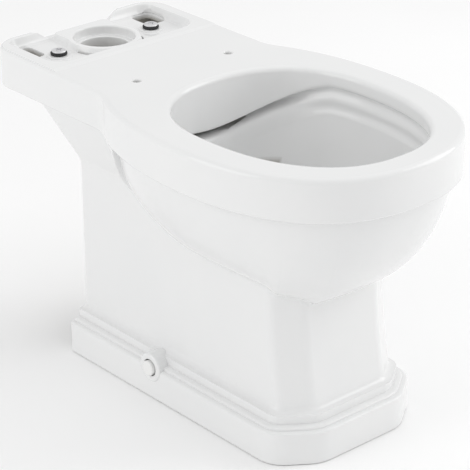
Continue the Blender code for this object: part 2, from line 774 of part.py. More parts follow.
BASIN_LEVELS = [
    (BASIN_TOP, BASIN_TOP_HALF, BASIN_TOP_REAR, BASIN_TOP_FRONT),
    (BASIN_MIDDLE, BASIN_MIDDLE_HALF, BASIN_MIDDLE_REAR, BASIN_MIDDLE_FRONT),
    (BASIN_LOWER, BASIN_LOWER_HALF, BASIN_LOWER_REAR, BASIN_LOWER_FRONT),
    (SUMP_TOP, SUMP_TOP_HALF, SUMP_TOP_REAR, SUMP_TOP_FRONT),
    (SUMP_FLOOR, SUMP_FLOOR_HALF, SUMP_FLOOR_REAR, SUMP_FLOOR_FRONT),
]


def smooth_value(places, values, place):
    """A value on the smooth curve through named places (falling), by cubic pieces."""
    n = len(places)
    slopes = []
    for i in range(n):
        a, b = max(0, i - 1), min(n - 1, i + 1)
        slopes.append((values[b] - values[a]) / (places[b] - places[a]))
    for i in range(n - 1):
        if places[i] >= place >= places[i + 1]:
            h = places[i + 1] - places[i]
            t = (place - places[i]) / h
            low = (1 + 2 * t) * (1 - t) ** 2 * values[i] + t * (1 - t) ** 2 * h * slopes[i]
            return low + t * t * (3 - 2 * t) * values[i + 1] + t * t * (t - 1) * h * slopes[i + 1]
    return values[-1]


def basin_rings(wall):
    """Rings of the basin below the splash wall, moved out by a wall thickness."""
    levels = [basin_section(level) for level in BASIN_LEVELS]
    places = [level[0] for level in levels]
    columns = [[level[k] for level in levels] for k in (1, 2, 3)]
    heights = []
    for upper, lower in zip(places, places[1:]):
        step = (lower - upper) / BASIN_LEVEL_DIVISIONS
        heights += [upper + step * i for i in range(BASIN_LEVEL_DIVISIONS)]
    rings = []
    for height in heights + [places[-1]]:
        half, rear, front = (smooth_value(places, column, height) for column in columns)
        centre = (rear + front) / 2
        reach = (rear - front) / 2
        ring = []
        for i in range(OPENING_DIVISIONS):
            angle = 2 * math.pi * i / OPENING_DIVISIONS
            r = oval_radius(angle, half + wall, reach + wall, reach + wall, OPENING_POWER, OPENING_POWER)
            ring.append((r * math.cos(angle), centre + r * math.sin(angle), height))
        rings.append(ring)
    drop = min(wall, CHINA_WALL)
    floor = [(x, y, z - drop) for x, y, z in rings[-1]]
    centre = Vector((0, sum(p[1] for p in floor) / len(floor), floor[0][2]))
    rings[-1] = [tuple(Vector(p) - Vector((0, 0, drop))) for p in rings[-1]]
    below = centre - Vector((0, 0, CREASE_FILLET))
    rings.append([tuple(below + (Vector(p) - centre) * SUMP_CORNER_SHARE) for p in floor])
    return rings


def bowl_cavity():
    """The wet space of the bowl: rounded edge, splash wall, undercuts, water ledge, basin and sump."""
    angles = [2 * math.pi * i / OPENING_DIVISIONS for i in range(OPENING_DIVISIONS)]
    angles = [a if a <= math.pi else a - 2 * math.pi for a in angles]
    edge = OPENING_EDGE_ROUND
    rings = [[(*opening_point(a, edge), HEIGHT + OVERRUN) for a in angles]]
    for turn in (0, 30, 60, 90):
        t = math.radians(turn)
        out = edge * (1 - math.sin(t))
        rings.append([(*opening_point(a, out), DECK - edge * (1 - math.cos(t))) for a in angles])
    lip = BAND_FOOT_ROUND
    rows = [(0, -lip), (lip / 3, 0), (UNDERCUT, lip / 3), (UNDERCUT, UNDERCUT_HEIGHT)]
    rows += [(WATER_LEDGE, WATER_LEDGE_HEIGHT), (WATER_LEDGE - lip / 3, WATER_LEDGE_HEIGHT + 2 * lip)]
    rows += [(SECOND_UNDERCUT, WATER_LEDGE_HEIGHT + WATER_LEDGE_WALL), (0, BASIN_START)]
    for out, down in rows:
        rings.append([(*opening_point(a, out), DECK - splash_height(a) - down) for a in angles])
    basin = basin_rings(0)
    upper = rings[-1]
    first = basin[0]
    top = min(p[2] for p in upper)
    lower = [ring for ring in basin if ring[0][2] < top - CREASE_FILLET]
    for share in FILLET_SHARES:
        ring = []
        for high, low, guide in zip(upper, lower[0], first):
            point = Vector(high).lerp(Vector(low), share)
            ring.append(tuple(point))
        rings.append(ring)
    return loft(rings + lower)


def trap_path():
    """Centre line of the trapway in the plane X = 0, as (Y, Z, heading) from the sump to the outlet."""
    rise, fall = TRAP_RISE_ANGLE, TRAP_FALL_ANGLE
    foot, crown, last = TRAP_FOOT_BEND, TRAP_CROWN_BEND, TRAP_LAST_BEND
    run = OUTLET_END - OUTLET_LENGTH - TRAP_ENTRY_Y
    run -= (foot + crown) * math.sin(rise) + (crown + last) * math.sin(fall)
    lift = OUTLET_HEIGHT - TRAP_ENTRY_HEIGHT
    lift -= (foot + crown) * (1 - math.cos(rise)) - (crown + last) * (1 - math.cos(fall))
    up_run = (run * math.sin(fall) + lift * math.cos(fall)) / math.sin(rise + fall)
    down_run = (run * math.sin(rise) - lift * math.cos(rise)) / math.sin(rise + fall)
    path = []
    at = Vector((TRAP_ENTRY_Y, TRAP_ENTRY_HEIGHT))
    parts = [(foot, 0, rise, 4), (crown, rise, -fall, 6), (last, -fall, 0, 3)]
    runs = [up_run, down_run, 0]
    for (radius, start, end, count), straight in zip(parts, runs):
        turn = 1 if end > start else -1
        centre = at + Vector((-math.sin(start), math.cos(start))) * radius * turn
        for i in range(count + 1):
            a = start + (end - start) * i / count
            point = centre - Vector((-math.sin(a), math.cos(a))) * radius * turn
            path.append((point.x, point.y, a))
        at = point + Vector((math.cos(end), math.sin(end))) * straight
    return path


def trap_tube(wall, spigot_radius, end):
    """A tube along the trapway that widens into the straight outlet."""
    rings = []
    stations = [(*point, TRAP_BORE_RADIUS + wall) for point in trap_path()]
    begin = OUTLET_END - OUTLET_LENGTH + OUTLET_SOCKET_RUN
    stations += [(begin, OUTLET_HEIGHT, 0, spigot_radius), (end, OUTLET_HEIGHT, 0, spigot_radius)]
    for y, z, heading, radius in stations:
        ring = []
        for k in range(TRAP_DIVISIONS):
            a = 2 * math.pi * k / TRAP_DIVISIONS
            across, rise = radius * math.cos(a), radius * math.sin(a)
            ring.append((across, y - rise * math.sin(heading), z + rise * math.cos(heading)))
        rings.append(ring)
    return loft(rings)


def rounded_rectangle(half, rear, front, corner):
    """Half outline of a rectangle with two rounded corners, from the middle of its rear to its front."""
    points = [(0, rear)] + quadratic_arc((half - corner, rear), (half, rear), (half, rear - corner), 3)
    points += [(half, rear - corner)]
    points += quadratic_arc((half, front + corner), (half, front), (half - corner, front), 3)
    return points + [(half - corner, front), (0, front)]


def pedestal_hollow():
    """The space inside the pedestal, open to the floor and to the rear."""
    rear = PLINTH_REAR + OVERRUN
    foot_half = PEDESTAL_HALF + PLINTH_OUTSET - HOLLOW_FOOT_WALL
    foot_front = PEDESTAL_FRONT - PEDESTAL_FLARE - PLINTH_OUTSET + HOLLOW_FOOT_WALL
    half = PEDESTAL_HALF - HOLLOW_WALL
    front = PEDESTAL_FRONT + HOLLOW_WALL
    rows = [(-OVERRUN, foot_half, foot_front), (HOLLOW_FOOT_HEIGHT, foot_half, foot_front)]
    rows += [(HOLLOW_NARROW_HEIGHT, half, front - PEDESTAL_FLARE), (CREASE_FRONT, half, front)]
    rows += [(HOLLOW_TOP, half, front)]
    rings = []
    for height, wide, face in rows:
        corner = CHAMFER_FRONT_LEG - HOLLOW_CORNER + (wide - half)
        points = [(0, rear), (wide, rear), (wide, face + corner)]
        points += [(wide - corner, face), (0, face)]
        rings.append(full_ring([(x, y, height) for x, y in points]))
    return loft(rings)


def tray_hollow():
    """The space under the platform, between its skirts and down the neck."""
    half = SHELF_HALF - HOLLOW_WALL
    rear = REAR - HOLLOW_WALL
    low = PEDESTAL_HALF - HOLLOW_WALL
    neck = NECK_HALF - HOLLOW_WALL
    rows = [(NECK_FOOT - HOLLOW_WALL, low, TRAY_FRONT), (NECK_FOOT, low, TRAY_FRONT)]
    rows += [(SHELF_UNDERSIDE - HOLLOW_CORNER, neck - HOLLOW_CORNER / 2, TRAY_FRONT)]
    rows += [(SHELF_UNDERSIDE + HOLLOW_CORNER, half, TRAY_FRONT), (TRAY_ROOF, half, TRAY_FRONT)]
    rings = []
    for height, wide, front in rows:
        outline = rounded_rectangle(wide, rear, front, HOLLOW_CORNER)
        rings.append(full_ring([(x, y, height) for x, y in outline]))
    return loft(rings)


def platform_pocket():
    """The sunken area round the inlet's seat and the bolts; its walls run softly into its floor."""
    rows = [(HEIGHT + OVERRUN, -POCKET_LIP_SHARE)]
    rows += [(HEIGHT - POCKET_DEPTH * down, inset) for down, inset in POCKET_WALL_SHARES]
    rings = []
    for height, inset in rows:
        outer = POCKET_OUTER - POCKET_SIDE_SLOPE * inset
        rear = POCKET_REAR - POCKET_REAR_SLOPE * inset
        front = POCKET_FRONT + POCKET_FRONT_SLOPE * inset
        corner, large = POCKET_CORNER, POCKET_FRONT_CORNER
        points = [(0, rear)]
        points += quadratic_arc((outer - corner, rear), (outer, rear), (outer, rear - corner), 4)
        points += [(outer, rear - corner)]
        points += quadratic_arc((outer, front + large), (outer, front), (outer - large, front), 5)
        points += [(outer - large, front), (0, front)]
        rings.append(full_ring([(x, y, height) for x, y in points]))
    return loft(rings)


def inlet_seat():
    """The seat round the flush inlet, a disc that runs on to the rear, which the pocket leaves standing."""
    floor = HEIGHT - POCKET_DEPTH
    edge = SEAT_EDGE_ROUND
    soft = edge * (1 - DIAGONAL_SHARE)
    rows = [(floor - OVERRUN / 2, SEAT_DRAFT), (floor, SEAT_DRAFT), (SEAT_TOP - edge, 0)]
    rows += [(SEAT_TOP - soft, -soft), (SEAT_TOP, -edge)]
    rings = []
    for height, out in rows:
        radius, half = SEAT_RADIUS + out, SEAT_HALF + out
        rear, corner = SEAT_REAR + out, SEAT_CORNER
        start = math.acos(half / radius)
        points = [(0, rear)]
        points += quadratic_arc((half - corner, rear), (half, rear), (half, rear - corner), 3)
        points += [(half, rear - corner)]
        for i in range(ROUND_DIVISIONS):
            a = start - (start + math.pi / 2) * i / ROUND_DIVISIONS
            points.append((radius * math.cos(a), INLET_Y + radius * math.sin(a)))
        points.append((0, INLET_Y - radius))
        rings.append(full_ring([(x, y, height) for x, y in points]))
    return loft(rings)


def rear_gap():
    """The gap behind the inlet's seat that opens the pocket to the rear; it narrows forwards."""
    floor = HEIGHT - POCKET_DEPTH
    reach = OVERRUN / POCKET_DEPTH
    rings = []
    for back in (GAP_RUN + OVERRUN, 0):
        share = back / GAP_RUN
        half = GAP_FRONT_HALF + (GAP_REAR_HALF - GAP_FRONT_HALF) * share
        foot = GAP_FRONT_FLOOR_HALF + (GAP_REAR_FLOOR_HALF - GAP_FRONT_FLOOR_HALF) * share
        outline = [(foot, floor), (half + (half - foot) * reach, HEIGHT + OVERRUN)]
        outline += [(-x, z) for x, z in reversed(outline)]
        rings.append([(x, REAR - GAP_RUN + back, z) for x, z in outline])
    return loft(rings)


def oval_hole(side):
    """The long rounded hole beside a cistern bolt, through the pocket's floor."""
    corner = SLOT_HOLE_CORNER
    across, along = SLOT_HOLE_WIDTH / 2 - corner, SLOT_HOLE_LENGTH / 2 - corner
    points = []
    for turn, (way_x, way_y) in enumerate(((1, 1), (-1, 1), (-1, -1), (1, -1))):
        for i in range(CORNER_DIVISIONS + 1):
            a = math.pi / 2 * (turn + i / CORNER_DIVISIONS)
            x = SLOT_HOLE_X + across * way_x + corner * math.cos(a)
            points.append((x, SLOT_HOLE_Y + along * way_y + corner * math.sin(a)))
    return mirrored(prism(points, TRAY_ROOF - OVERRUN, HEIGHT + OVERRUN), side)


def crescent(side):
    """The narrow slot in the pocket's floor that follows the inlet's seat in front of a bolt."""
    steps = 6
    turn = [CRESCENT_START + (CRESCENT_END - CRESCENT_START) * i / steps for i in range(steps + 1)]
    inner = [(CRESCENT_INNER * math.cos(a), INLET_Y + CRESCENT_INNER * math.sin(a)) for a in turn]
    outer = [(CRESCENT_OUTER * math.cos(a), INLET_Y + CRESCENT_OUTER * math.sin(a)) for a in turn]
    return mirrored(prism(outer + inner[::-1], HEIGHT - CRESCENT_DEPTH, HEIGHT + OVERRUN), side)


def bolt_pad(side):
    """The round pad that carries a bolt's rubber washer; the pocket leaves it standing."""
    top = HEIGHT - POCKET_DEPTH + BOLT_PAD_RISE
    low = HEIGHT - POCKET_DEPTH - OVERRUN / 2
    edge = BOLT_PAD_RISE / 2
    profile = [(0, low), (BOLT_PAD_RADIUS, low), (BOLT_PAD_RADIUS, top - edge)]
    profile += [(BOLT_PAD_RADIUS - edge, top), (0, top)]
    return placed(turned(profile, ROUND_DIVISIONS), Matrix.Translation((side * BOLT_X, BOLT_Y, 0)))


def bolt_hole(side):
    """The hole for a cistern bolt."""
    profile = [(0, TRAY_ROOF - OVERRUN), (BOLT_HOLE_RADIUS, TRAY_ROOF - OVERRUN)]
    profile += [(BOLT_HOLE_RADIUS, HEIGHT + OVERRUN), (0, HEIGHT + OVERRUN)]
    return placed(turned(profile, ROUND_DIVISIONS), Matrix.Translation((side * BOLT_X, BOLT_Y, 0)))


def hinge_hole(side):
    """A seat hinge hole with a soft edge."""
    r, edge = HINGE_HOLE_RADIUS, HINGE_HOLE_ROUND
    profile = [(0, TRAY_ROOF - OVERRUN), (r, TRAY_ROOF - OVERRUN), (r, DECK - edge)]
    profile += [(r + edge * (1 - math.cos(math.radians(a))), DECK - edge * (1 - math.sin(math.radians(a))))
                for a in (45, 90)]
    profile += [(r + edge, DECK + OVERRUN), (0, DECK + OVERRUN)]
    place = Matrix.Translation((side * HINGE_SPACING / 2, HINGE_Y, 0))
    return placed(turned(profile, ROUND_DIVISIONS), place)


def inlet_bore():
    """The flush inlet: rounded lip, seat for the cistern's sleeve, step and narrower neck."""
    r, edge = INLET_RADIUS, INLET_EDGE_ROUND
    step = HEIGHT - INLET_STEP_DEPTH
    profile = [(0, DUCT_FLOOR), (INLET_NECK_RADIUS, DUCT_FLOOR), (INLET_NECK_RADIUS, step - edge)]
    profile += [(INLET_NECK_RADIUS + edge / 2, step), (r - edge / 2, step), (r, step + edge / 2)]
    profile += [(r, SEAT_TOP - edge)]
    for a in (30, 60, 90):
        t = math.radians(a)
        profile.append((r + edge * (1 - math.cos(t)), SEAT_TOP - edge * (1 - math.sin(t))))
    profile += [(r + edge, HEIGHT + OVERRUN), (0, HEIGHT + OVERRUN)]
    return placed(turned(profile, INLET_DIVISIONS), Matrix.Translation((0, INLET_Y, 0)))


def fixing_boss(side):
    """The round boss that interrupts the plinth's mouldings round a side fixing."""
    r, edge, proud = FIXING_BOSS_RADIUS, FIXING_BOSS_ROUND, FIXING_BOSS_PROUD
    profile = [(0, -FIXING_BOSS_DEPTH), (r, -FIXING_BOSS_DEPTH), (r, proud - edge)]
    for a in (30, 60, 90):
        t = math.radians(a)
        profile.append((r - edge * (1 - math.cos(t)), proud - edge * (1 - math.sin(t))))
    profile.append((0, proud))
    work = lie_down(turned(profile, ROUND_DIVISIONS), side)
    return placed(work, Matrix.Translation(fixing_place(side)))


def lie_down(work, side):
    """Turns a piece modelled along Z to lie along X, with its head outwards on the given side."""
    work.transform(Matrix.Rotation(math.pi / 2, 4, "Y"))
    return mirrored(work, side)


def fixing_place(side):
    """The middle of a side fixing's hole, in the plinth's face."""
    return side * (PEDESTAL_HALF + PLINTH_OUTSET), FIXING_Y, FIXING_HEIGHT


def fixing_hole(side):
    """The hole for a side fixing, through the plinth's wall."""
    deep = -PLINTH_OUTSET - HOLLOW_WALL
    profile = [(0, deep), (FIXING_HOLE_RADIUS, deep), (FIXING_HOLE_RADIUS, OVERRUN), (0, OVERRUN)]
    work = lie_down(turned(profile, ROUND_DIVISIONS), side)
    return placed(work, Matrix.Translation(fixing_place(side)))


def duct(wall):
    """The flush way from the inlet to the chamber behind the apron, moved out by a wall thickness."""
    rear = REAR - 2 * HOLLOW_WALL if wall else INLET_Y
    rows = [(rear, DUCT_HALF, DUCT_FLOOR), (CHAMBER_REAR + CHAMBER_HALF, DUCT_HALF, DUCT_FLOOR)]
    rows += [(CHAMBER_REAR, CHAMBER_HALF, CHAMBER_FLOOR)]
    rows += [(CHAMBER_FRONT - wall, CHAMBER_HALF, CHAMBER_FLOOR)]
    rings = []
    roof = TRAY_ROOF + HOLLOW_CORNER / 2 if wall else DUCT_ROOF
    for y, half, floor in rows:
        wide, low = half + wall, floor - wall
        edge = HOLLOW_CORNER
        points = [(wide, roof), (wide, low + edge), (wide - edge, low)]
        points += [(edge - wide, low), (-wide, low + edge), (-wide, roof)]
        rings.append([(x, y, z) for x, z in points])
    return loft(rings)


def inlet_wall():
    """The round wall under the platform that carries the flush inlet."""
    profile = [(0, DUCT_FLOOR - DUCT_WALL), (INLET_WALL_RADIUS - HOLLOW_CORNER, DUCT_FLOOR - DUCT_WALL)]
    profile += [(INLET_WALL_RADIUS, DUCT_FLOOR - DUCT_WALL + HOLLOW_CORNER)]
    profile += [(INLET_WALL_RADIUS, TRAY_ROOF + HOLLOW_CORNER / 2), (0, TRAY_ROOF + HOLLOW_CORNER / 2)]
    return placed(turned(profile, INLET_DIVISIONS), Matrix.Translation((0, INLET_Y, 0)))


def joined(works):
    """One bmesh that holds several separate closed solids."""
    whole = bmesh.new()
    for work in works:
        mesh = bpy.data.meshes.new("joined")
        work.to_mesh(mesh)
        work.free()
        whole.from_mesh(mesh)
        bpy.data.meshes.remove(mesh)
    return whole


def make_platform_cut():
    """The tool that sinks the platform's pocket and leaves the inlet's seat and the bolts' pads."""
    well = cutter("pocket_cut", platform_pocket())
    combine(well, cutter("rear_gap_cut", rear_gap()), "UNION")
    combine(well, cutter("inlet_seat_keep", inlet_seat()), "DIFFERENCE")
    combine(well, cutter("bolt_pads_keep", joined([bolt_pad(side) for side in SIDES])), "DIFFERENCE")
    slots = [slot(side) for side in SIDES for slot in (oval_hole, crescent)]
    combine(well, cutter("platform_slots_cut", joined(slots)), "UNION")
    return well


def make_casting():
    """The one casting: skin, hollows, basin, trapway, outlet, flush way, platform pocket and holes."""
    pan = add_object("casting", loft(skin_rings()))
    combine(pan, cutter("platform_add", platform_slab()), "UNION")
    bosses = cutter("fixing_bosses_add", joined([fixing_boss(side) for side in SIDES]))
    combine(pan, bosses, "UNION")
    hollow = cutter("pedestal_hollow_cut", pedestal_hollow())
    combine(hollow, cutter("tray_hollow_cut", tray_hollow()), "UNION")
    combine(pan, hollow, "DIFFERENCE")
    inside = cutter("basin_wall_add", loft(basin_rings(CHINA_WALL)))
    trap = trap_tube(CHINA_WALL, OUTLET_RADIUS, OUTLET_END)
    combine(inside, cutter("trap_wall_add", trap), "UNION")
    combine(inside, cutter("duct_wall_add", duct(DUCT_WALL)), "UNION")
    combine(inside, cutter("inlet_wall_add", inlet_wall()), "UNION")
    combine(pan, inside, "UNION")
    combine(pan, make_platform_cut(), "DIFFERENCE")
    wet = cutter("bowl_cut", bowl_cavity())
    bore = trap_tube(0, OUTLET_BORE_RADIUS, OUTLET_END + OVERRUN)
    combine(wet, cutter("trap_cut", bore), "UNION")
    combine(wet, cutter("duct_cut", duct(0)), "UNION")
    combine(wet, cutter("inlet_cut", inlet_bore()), "UNION")
    combine(pan, wet, "DIFFERENCE")
    drills = [drill(side) for side in SIDES for drill in (bolt_hole, hinge_hole, fixing_hole)]
    combine(pan, cutter("holes_cut", joined(drills)), "DIFFERENCE")
    return pan


# Pieces of the casting

def span(outline, left=-REGION_HALF, right=REGION_HALF):
    """A region drawn as (Y, Z) points, from one X to another."""
    return loft([[(x, y, z) for y, z in outline] for x in (left, right)])


def span_box(front, rear, low, high):
    """A rectangular region across the whole width."""
    return span([(front, low), (rear, low), (rear, high), (front, high)])


def half_box(side, front, rear, low, high):
    """A rectangular region on one side of the lengthwise seam."""
    left, right = sorted((LENGTHWISE_SEAM + side * SEAT_GAP / 2, side * REGION_HALF))
    return box((left, front, low), (right, rear, high))


def core_region(name, grow):
    """The region of the sump and the trapway inside the pedestal, moved out by a distance."""
    half = PEDESTAL_HALF - HOLLOW_WALL - CORE_CLEARANCE + grow
    front = PEDESTAL_FRONT + HOLLOW_WALL + CORE_CLEARANCE - grow
    corner = CHAMFER_FRONT_LEG - HOLLOW_CORNER
    rear = REAR + OVERRUN
    points = [(0, rear), (half, rear), (half, front + corner), (half - corner, front), (0, front)]
    lower = full_ring([(x, y, -OVERRUN) for x, y in points])
    region = cutter(name, loft([lower, [(x, y, BOWL_SEAM + grow) for x, y, _ in lower]]))
    crown = max(z for _, z, _ in trap_path()) + TRAP_BORE_RADIUS + CHINA_WALL + SEAM_MARGIN + grow
    side = OUTLET_RADIUS + SEAM_MARGIN + grow
    low = (-side, REAR_SEAM - grow, BOWL_SEAM - OVERRUN)
    combine(region, cutter(f"{name}_crown", box(low, (side, rear + OVERRUN, crown))), "UNION")
    return region


def flush_region(grow, low, high):
    """The region of the flush way's walls between two heights, moved out by a distance."""
    side = CHAMBER_HALF + DUCT_WALL + CORE_CLEARANCE + grow
    rear = INLET_Y + INLET_WALL_RADIUS + CORE_CLEARANCE + grow
    return box((-side, REAR_SEAM - grow, low), (side, rear, high))


def piece_of(name, whole, china, region):
    """One piece of the casting: what of it lies in a region."""
    made = bpy.data.objects.new(name, whole.copy())
    made.data.name = name
    made.data.materials.clear()
    made.data.materials.append(china)
    smooth(made.data)
    bpy.context.scene.collection.objects.link(made)
    return combine(made, region, "INTERSECT")


def make_pan(china):
    """The casting, divided at plain seams into pieces that do not bend round its spaces."""
    casting = make_casting()
    graph = bpy.context.evaluated_depsgraph_get()
    whole = bpy.data.meshes.new_from_object(casting.evaluated_get(graph))
    clear_scene()
    gap = SEAT_GAP / 2
    front, rear = FRONT - OVERRUN, REAR + 3 * OVERRUN
    low, high = -2 * OVERRUN, HEIGHT + OVERRUN
    behind, before = REAR_SEAM + gap, REAR_SEAM - gap
    flush_foot = CHAMBER_FLOOR - DUCT_WALL - CORE_CLEARANCE
    column = [(front, PLINTH_SEAM + gap), (rear, PLINTH_SEAM + gap), (rear, NECK_SEAM - gap)]
    column += [(behind, NECK_SEAM - gap), (behind, BOWL_SEAM - gap), (front, BOWL_SEAM - gap)]
    regions = {
        "plinth": span_box(front, rear, low, PLINTH_SEAM - gap),
        "pedestal": span(column),
        "rim": span_box(front, before, RIM_SEAM + gap, high),
        "neck": span_box(behind, rear, NECK_SEAM + gap, RIM_SEAM - gap),
        "skirt": span_box(behind, rear, RIM_SEAM + gap, SLAB_SEAM - gap),
        "flush_way": flush_region(-gap, flush_foot + gap, RIM_SEAM - gap),
        "flush_cover": flush_region(-gap, RIM_SEAM + gap, SLAB_SEAM - gap),
    }
    for side, label in SIDES.items():
        regions[f"{label}_bowl"] = half_box(side, front, before, BOWL_SEAM + gap, RIM_SEAM - gap)
        regions[f"{label}_deck"] = half_box(side, behind, DECK_SEAM - gap, SLAB_SEAM + gap, high)
        regions[f"{label}_platform"] = half_box(side, DECK_SEAM + gap, rear, SLAB_SEAM + gap, high)
    made = {}
    for name, work in regions.items():
        made[name] = piece_of(name, whole, china, cutter(f"{name}_region", work))
    runs = {"sump": (front, SUMP_SEAM - gap), "trapway": (SUMP_SEAM + gap, OUTLET_SEAM - gap)}
    runs["outlet"] = (OUTLET_SEAM + gap, rear)
    for name, (start, end) in runs.items():
        region = core_region(f"{name}_region", -gap)
        combine(region, cutter(f"{name}_run", span_box(start, end, low, high)), "INTERSECT")
        piece_of(name, whole, china, region)
    core_cut = core_region("core_cut", gap)
    for name in ("plinth", "pedestal", "neck"):
        combine(made[name], core_cut, "DIFFERENCE")
    flush_cut = cutter("flush_cut", flush_region(gap, flush_foot - gap, high))
    for name in ("neck", "skirt"):
        combine(made[name], flush_cut, "DIFFERENCE")


# Cistern bolts and their washers and nuts

def cross_recess(top, length):
    """The cross in a screw's head, as a tool whose upper end is at the given height."""
    half = length / 2
    slot = CROSS_WIDTH / 2
    outline = []
    for turn in range(4):
        arm = Matrix.Rotation(math.pi / 2 * turn, 2)
        outline += [arm @ Vector((half, -slot)), arm @ Vector((half, slot)), arm @ Vector((slot, slot))]
    return prism([tuple(point) for point in outline], top - CROSS_DEPTH, top + OVERRUN)


def bolt_stack():
    """Heights of the faces in a bolt's stack, from the head down."""
    pad = HEIGHT - POCKET_DEPTH + BOLT_PAD_RISE
    head = pad + SEAT_GAP + RUBBER_THICKNESS + SEAT_GAP
    lower_rubber = TRAY_ROOF - SEAT_GAP
    steel = lower_rubber - LOWER_RUBBER_THICKNESS - SEAT_GAP
    nut = steel - STEEL_WASHER_THICKNESS - SEAT_GAP
    stack = {"head": head, "rubber": pad + SEAT_GAP, "lower_rubber": lower_rubber}
    return {**stack, "steel": steel, "nut": nut}


def piece(name, work, finish, place):
    """A named piece with its origin on its own axis."""
    made = add_object(name, work, finish)
    made.location = place
    return made


def bolt_work():
    """A cistern bolt: domed head and shank."""
    r, head, shank, chamfer = BOLT_HEAD_RADIUS, BOLT_HEAD_HEIGHT, BOLT_RADIUS, BOLT_END_CHAMFER
    profile = [(0, -BOLT_LENGTH), (shank - chamfer, -BOLT_LENGTH)]
    profile += [(shank, chamfer - BOLT_LENGTH), (shank, 0)]
    profile += [(r - chamfer / 2, 0), (r, chamfer / 2), (r, BOLT_HEAD_RIM)]
    profile += [(r - (head - BOLT_HEAD_RIM), head - chamfer / 4), (r / 2, head), (0, head)]
    return turned(profile, ROUND_DIVISIONS)


def ring_work(radius, bore, thickness, edge):
    """A washer with softened outer edges; its upper face is at height zero."""
    profile = [(bore, -thickness), (radius - edge, -thickness), (radius, edge - thickness), (radius, -edge)]
    profile += [(radius - edge, 0), (bore, 0)]
    return turned(profile, ROUND_DIVISIONS, bore=True)


def wing_work(side):
    """One blade of a wing nut."""
    outer, inner = WING_SPAN / 2, WING_ROOT
    across, deep = (outer - inner) / 2, WING_HEIGHT / 2
    rings = []
    for y in (-WING_THICKNESS / 2, WING_THICKNESS / 2):
        ring = []
        for i in range(ROUND_DIVISIONS // 2):
            a = 4 * math.pi * i / ROUND_DIVISIONS
            x = side * (inner + across * (1 + math.cos(a)))
            ring.append((x, y, -deep * (1 + math.sin(a)) - SEAT_GAP))
        rings.append(ring)
    return loft(rings)


def make_bolts(steel, plated, rubber):
    """Both cistern bolts with their washers and wing nuts."""
    heights = bolt_stack()
    hole = BOLT_RADIUS + BORE_CLEARANCE
    for side, label in SIDES.items():
        def at(key):
            return side * BOLT_X, BOLT_Y, heights[key]

        bolt = piece(f"{label}_cistern_bolt", bolt_work(), steel, at("head"))
        cross = cutter(f"{label}_bolt_cross_cut", cross_recess(BOLT_HEAD_HEIGHT, CROSS_LENGTH))
        cross.location = at("head")
        combine(bolt, cross, "DIFFERENCE")
        upper = ring_work(RUBBER_RADIUS, hole, RUBBER_THICKNESS, RUBBER_ROUND)
        top = (side * BOLT_X, BOLT_Y, heights["rubber"] + RUBBER_THICKNESS)
        piece(f"{label}_head_rubber", upper, rubber, top)
        lower = ring_work(LOWER_RUBBER_RADIUS, hole, LOWER_RUBBER_THICKNESS, RUBBER_ROUND)
        piece(f"{label}_lower_rubber", lower, rubber, at("lower_rubber"))
        washer = ring_work(STEEL_WASHER_RADIUS, hole, STEEL_WASHER_THICKNESS, SEAT_GAP)
        piece(f"{label}_steel_washer", washer, plated, at("steel"))
        hub = ring_work(WING_HUB_RADIUS, hole, WING_HUB_HEIGHT, RUBBER_ROUND)
        nut = piece(f"{label}_wing_nut", hub, plated, at("nut"))
        blades = cutter(f"{label}_wings_add", joined([wing_work(end) for end in SIDES]))
        blades.location = at("nut")
        combine(nut, blades, "UNION")


# Side fixings

def sleeve_work():
    """The bush in a side fixing's hole: a body that fills the hole and a collar that the cap clips to."""
    body, collar, bore = FIXING_HOLE_RADIUS - BORE_CLEARANCE, SLEEVE_COLLAR_RADIUS, SLEEVE_BORE_RADIUS
    step, edge = -SLEEVE_SET_BACK, BOLT_END_CHAMFER
    profile = [(bore, -SLEEVE_INNER_END), (body - edge, -SLEEVE_INNER_END), (body, edge - SLEEVE_INNER_END)]
    profile += [(body, step), (collar, step), (collar, -edge), (collar - edge, 0), (bore, 0)]
    return turned(profile, ROUND_DIVISIONS, bore=True)


def screw_work():
    """The long screw of a side fixing, its head seated on the sleeve's collar."""
    r, head, shank, chamfer = SCREW_HEAD_RADIUS, SCREW_HEAD_HEIGHT, SCREW_RADIUS, BOLT_END_CHAMFER
    profile = [(0, -SCREW_LENGTH), (shank - chamfer, -SCREW_LENGTH)]
    profile += [(shank, chamfer - SCREW_LENGTH), (shank, 0)]
    profile += [(r, 0), (r, head / 2), (r * math.cos(math.radians(40)), head - chamfer / 4), (0, head)]
    return turned(profile, ROUND_DIVISIONS)


def cap_work():
    """The push-on cover cap: a shallow cup with a rounded rim."""
    r, top, wall, edge = CAP_RADIUS, CAP_PROUD, CAP_WALL, CAP_EDGE_ROUND
    profile = [(0, top)]
    for a in (90, 60, 30, 0):
        t = math.radians(a)
        profile.append((r - edge + edge * math.cos(t), top - edge + edge * math.sin(t)))
    profile += [(r, -CAP_SKIRT), (r - wall, -CAP_SKIRT), (r - wall, top - wall - edge / 2)]
    profile += [(r - wall - edge / 2, top - wall), (0, top - wall)]
    return turned(profile, ROUND_DIVISIONS)


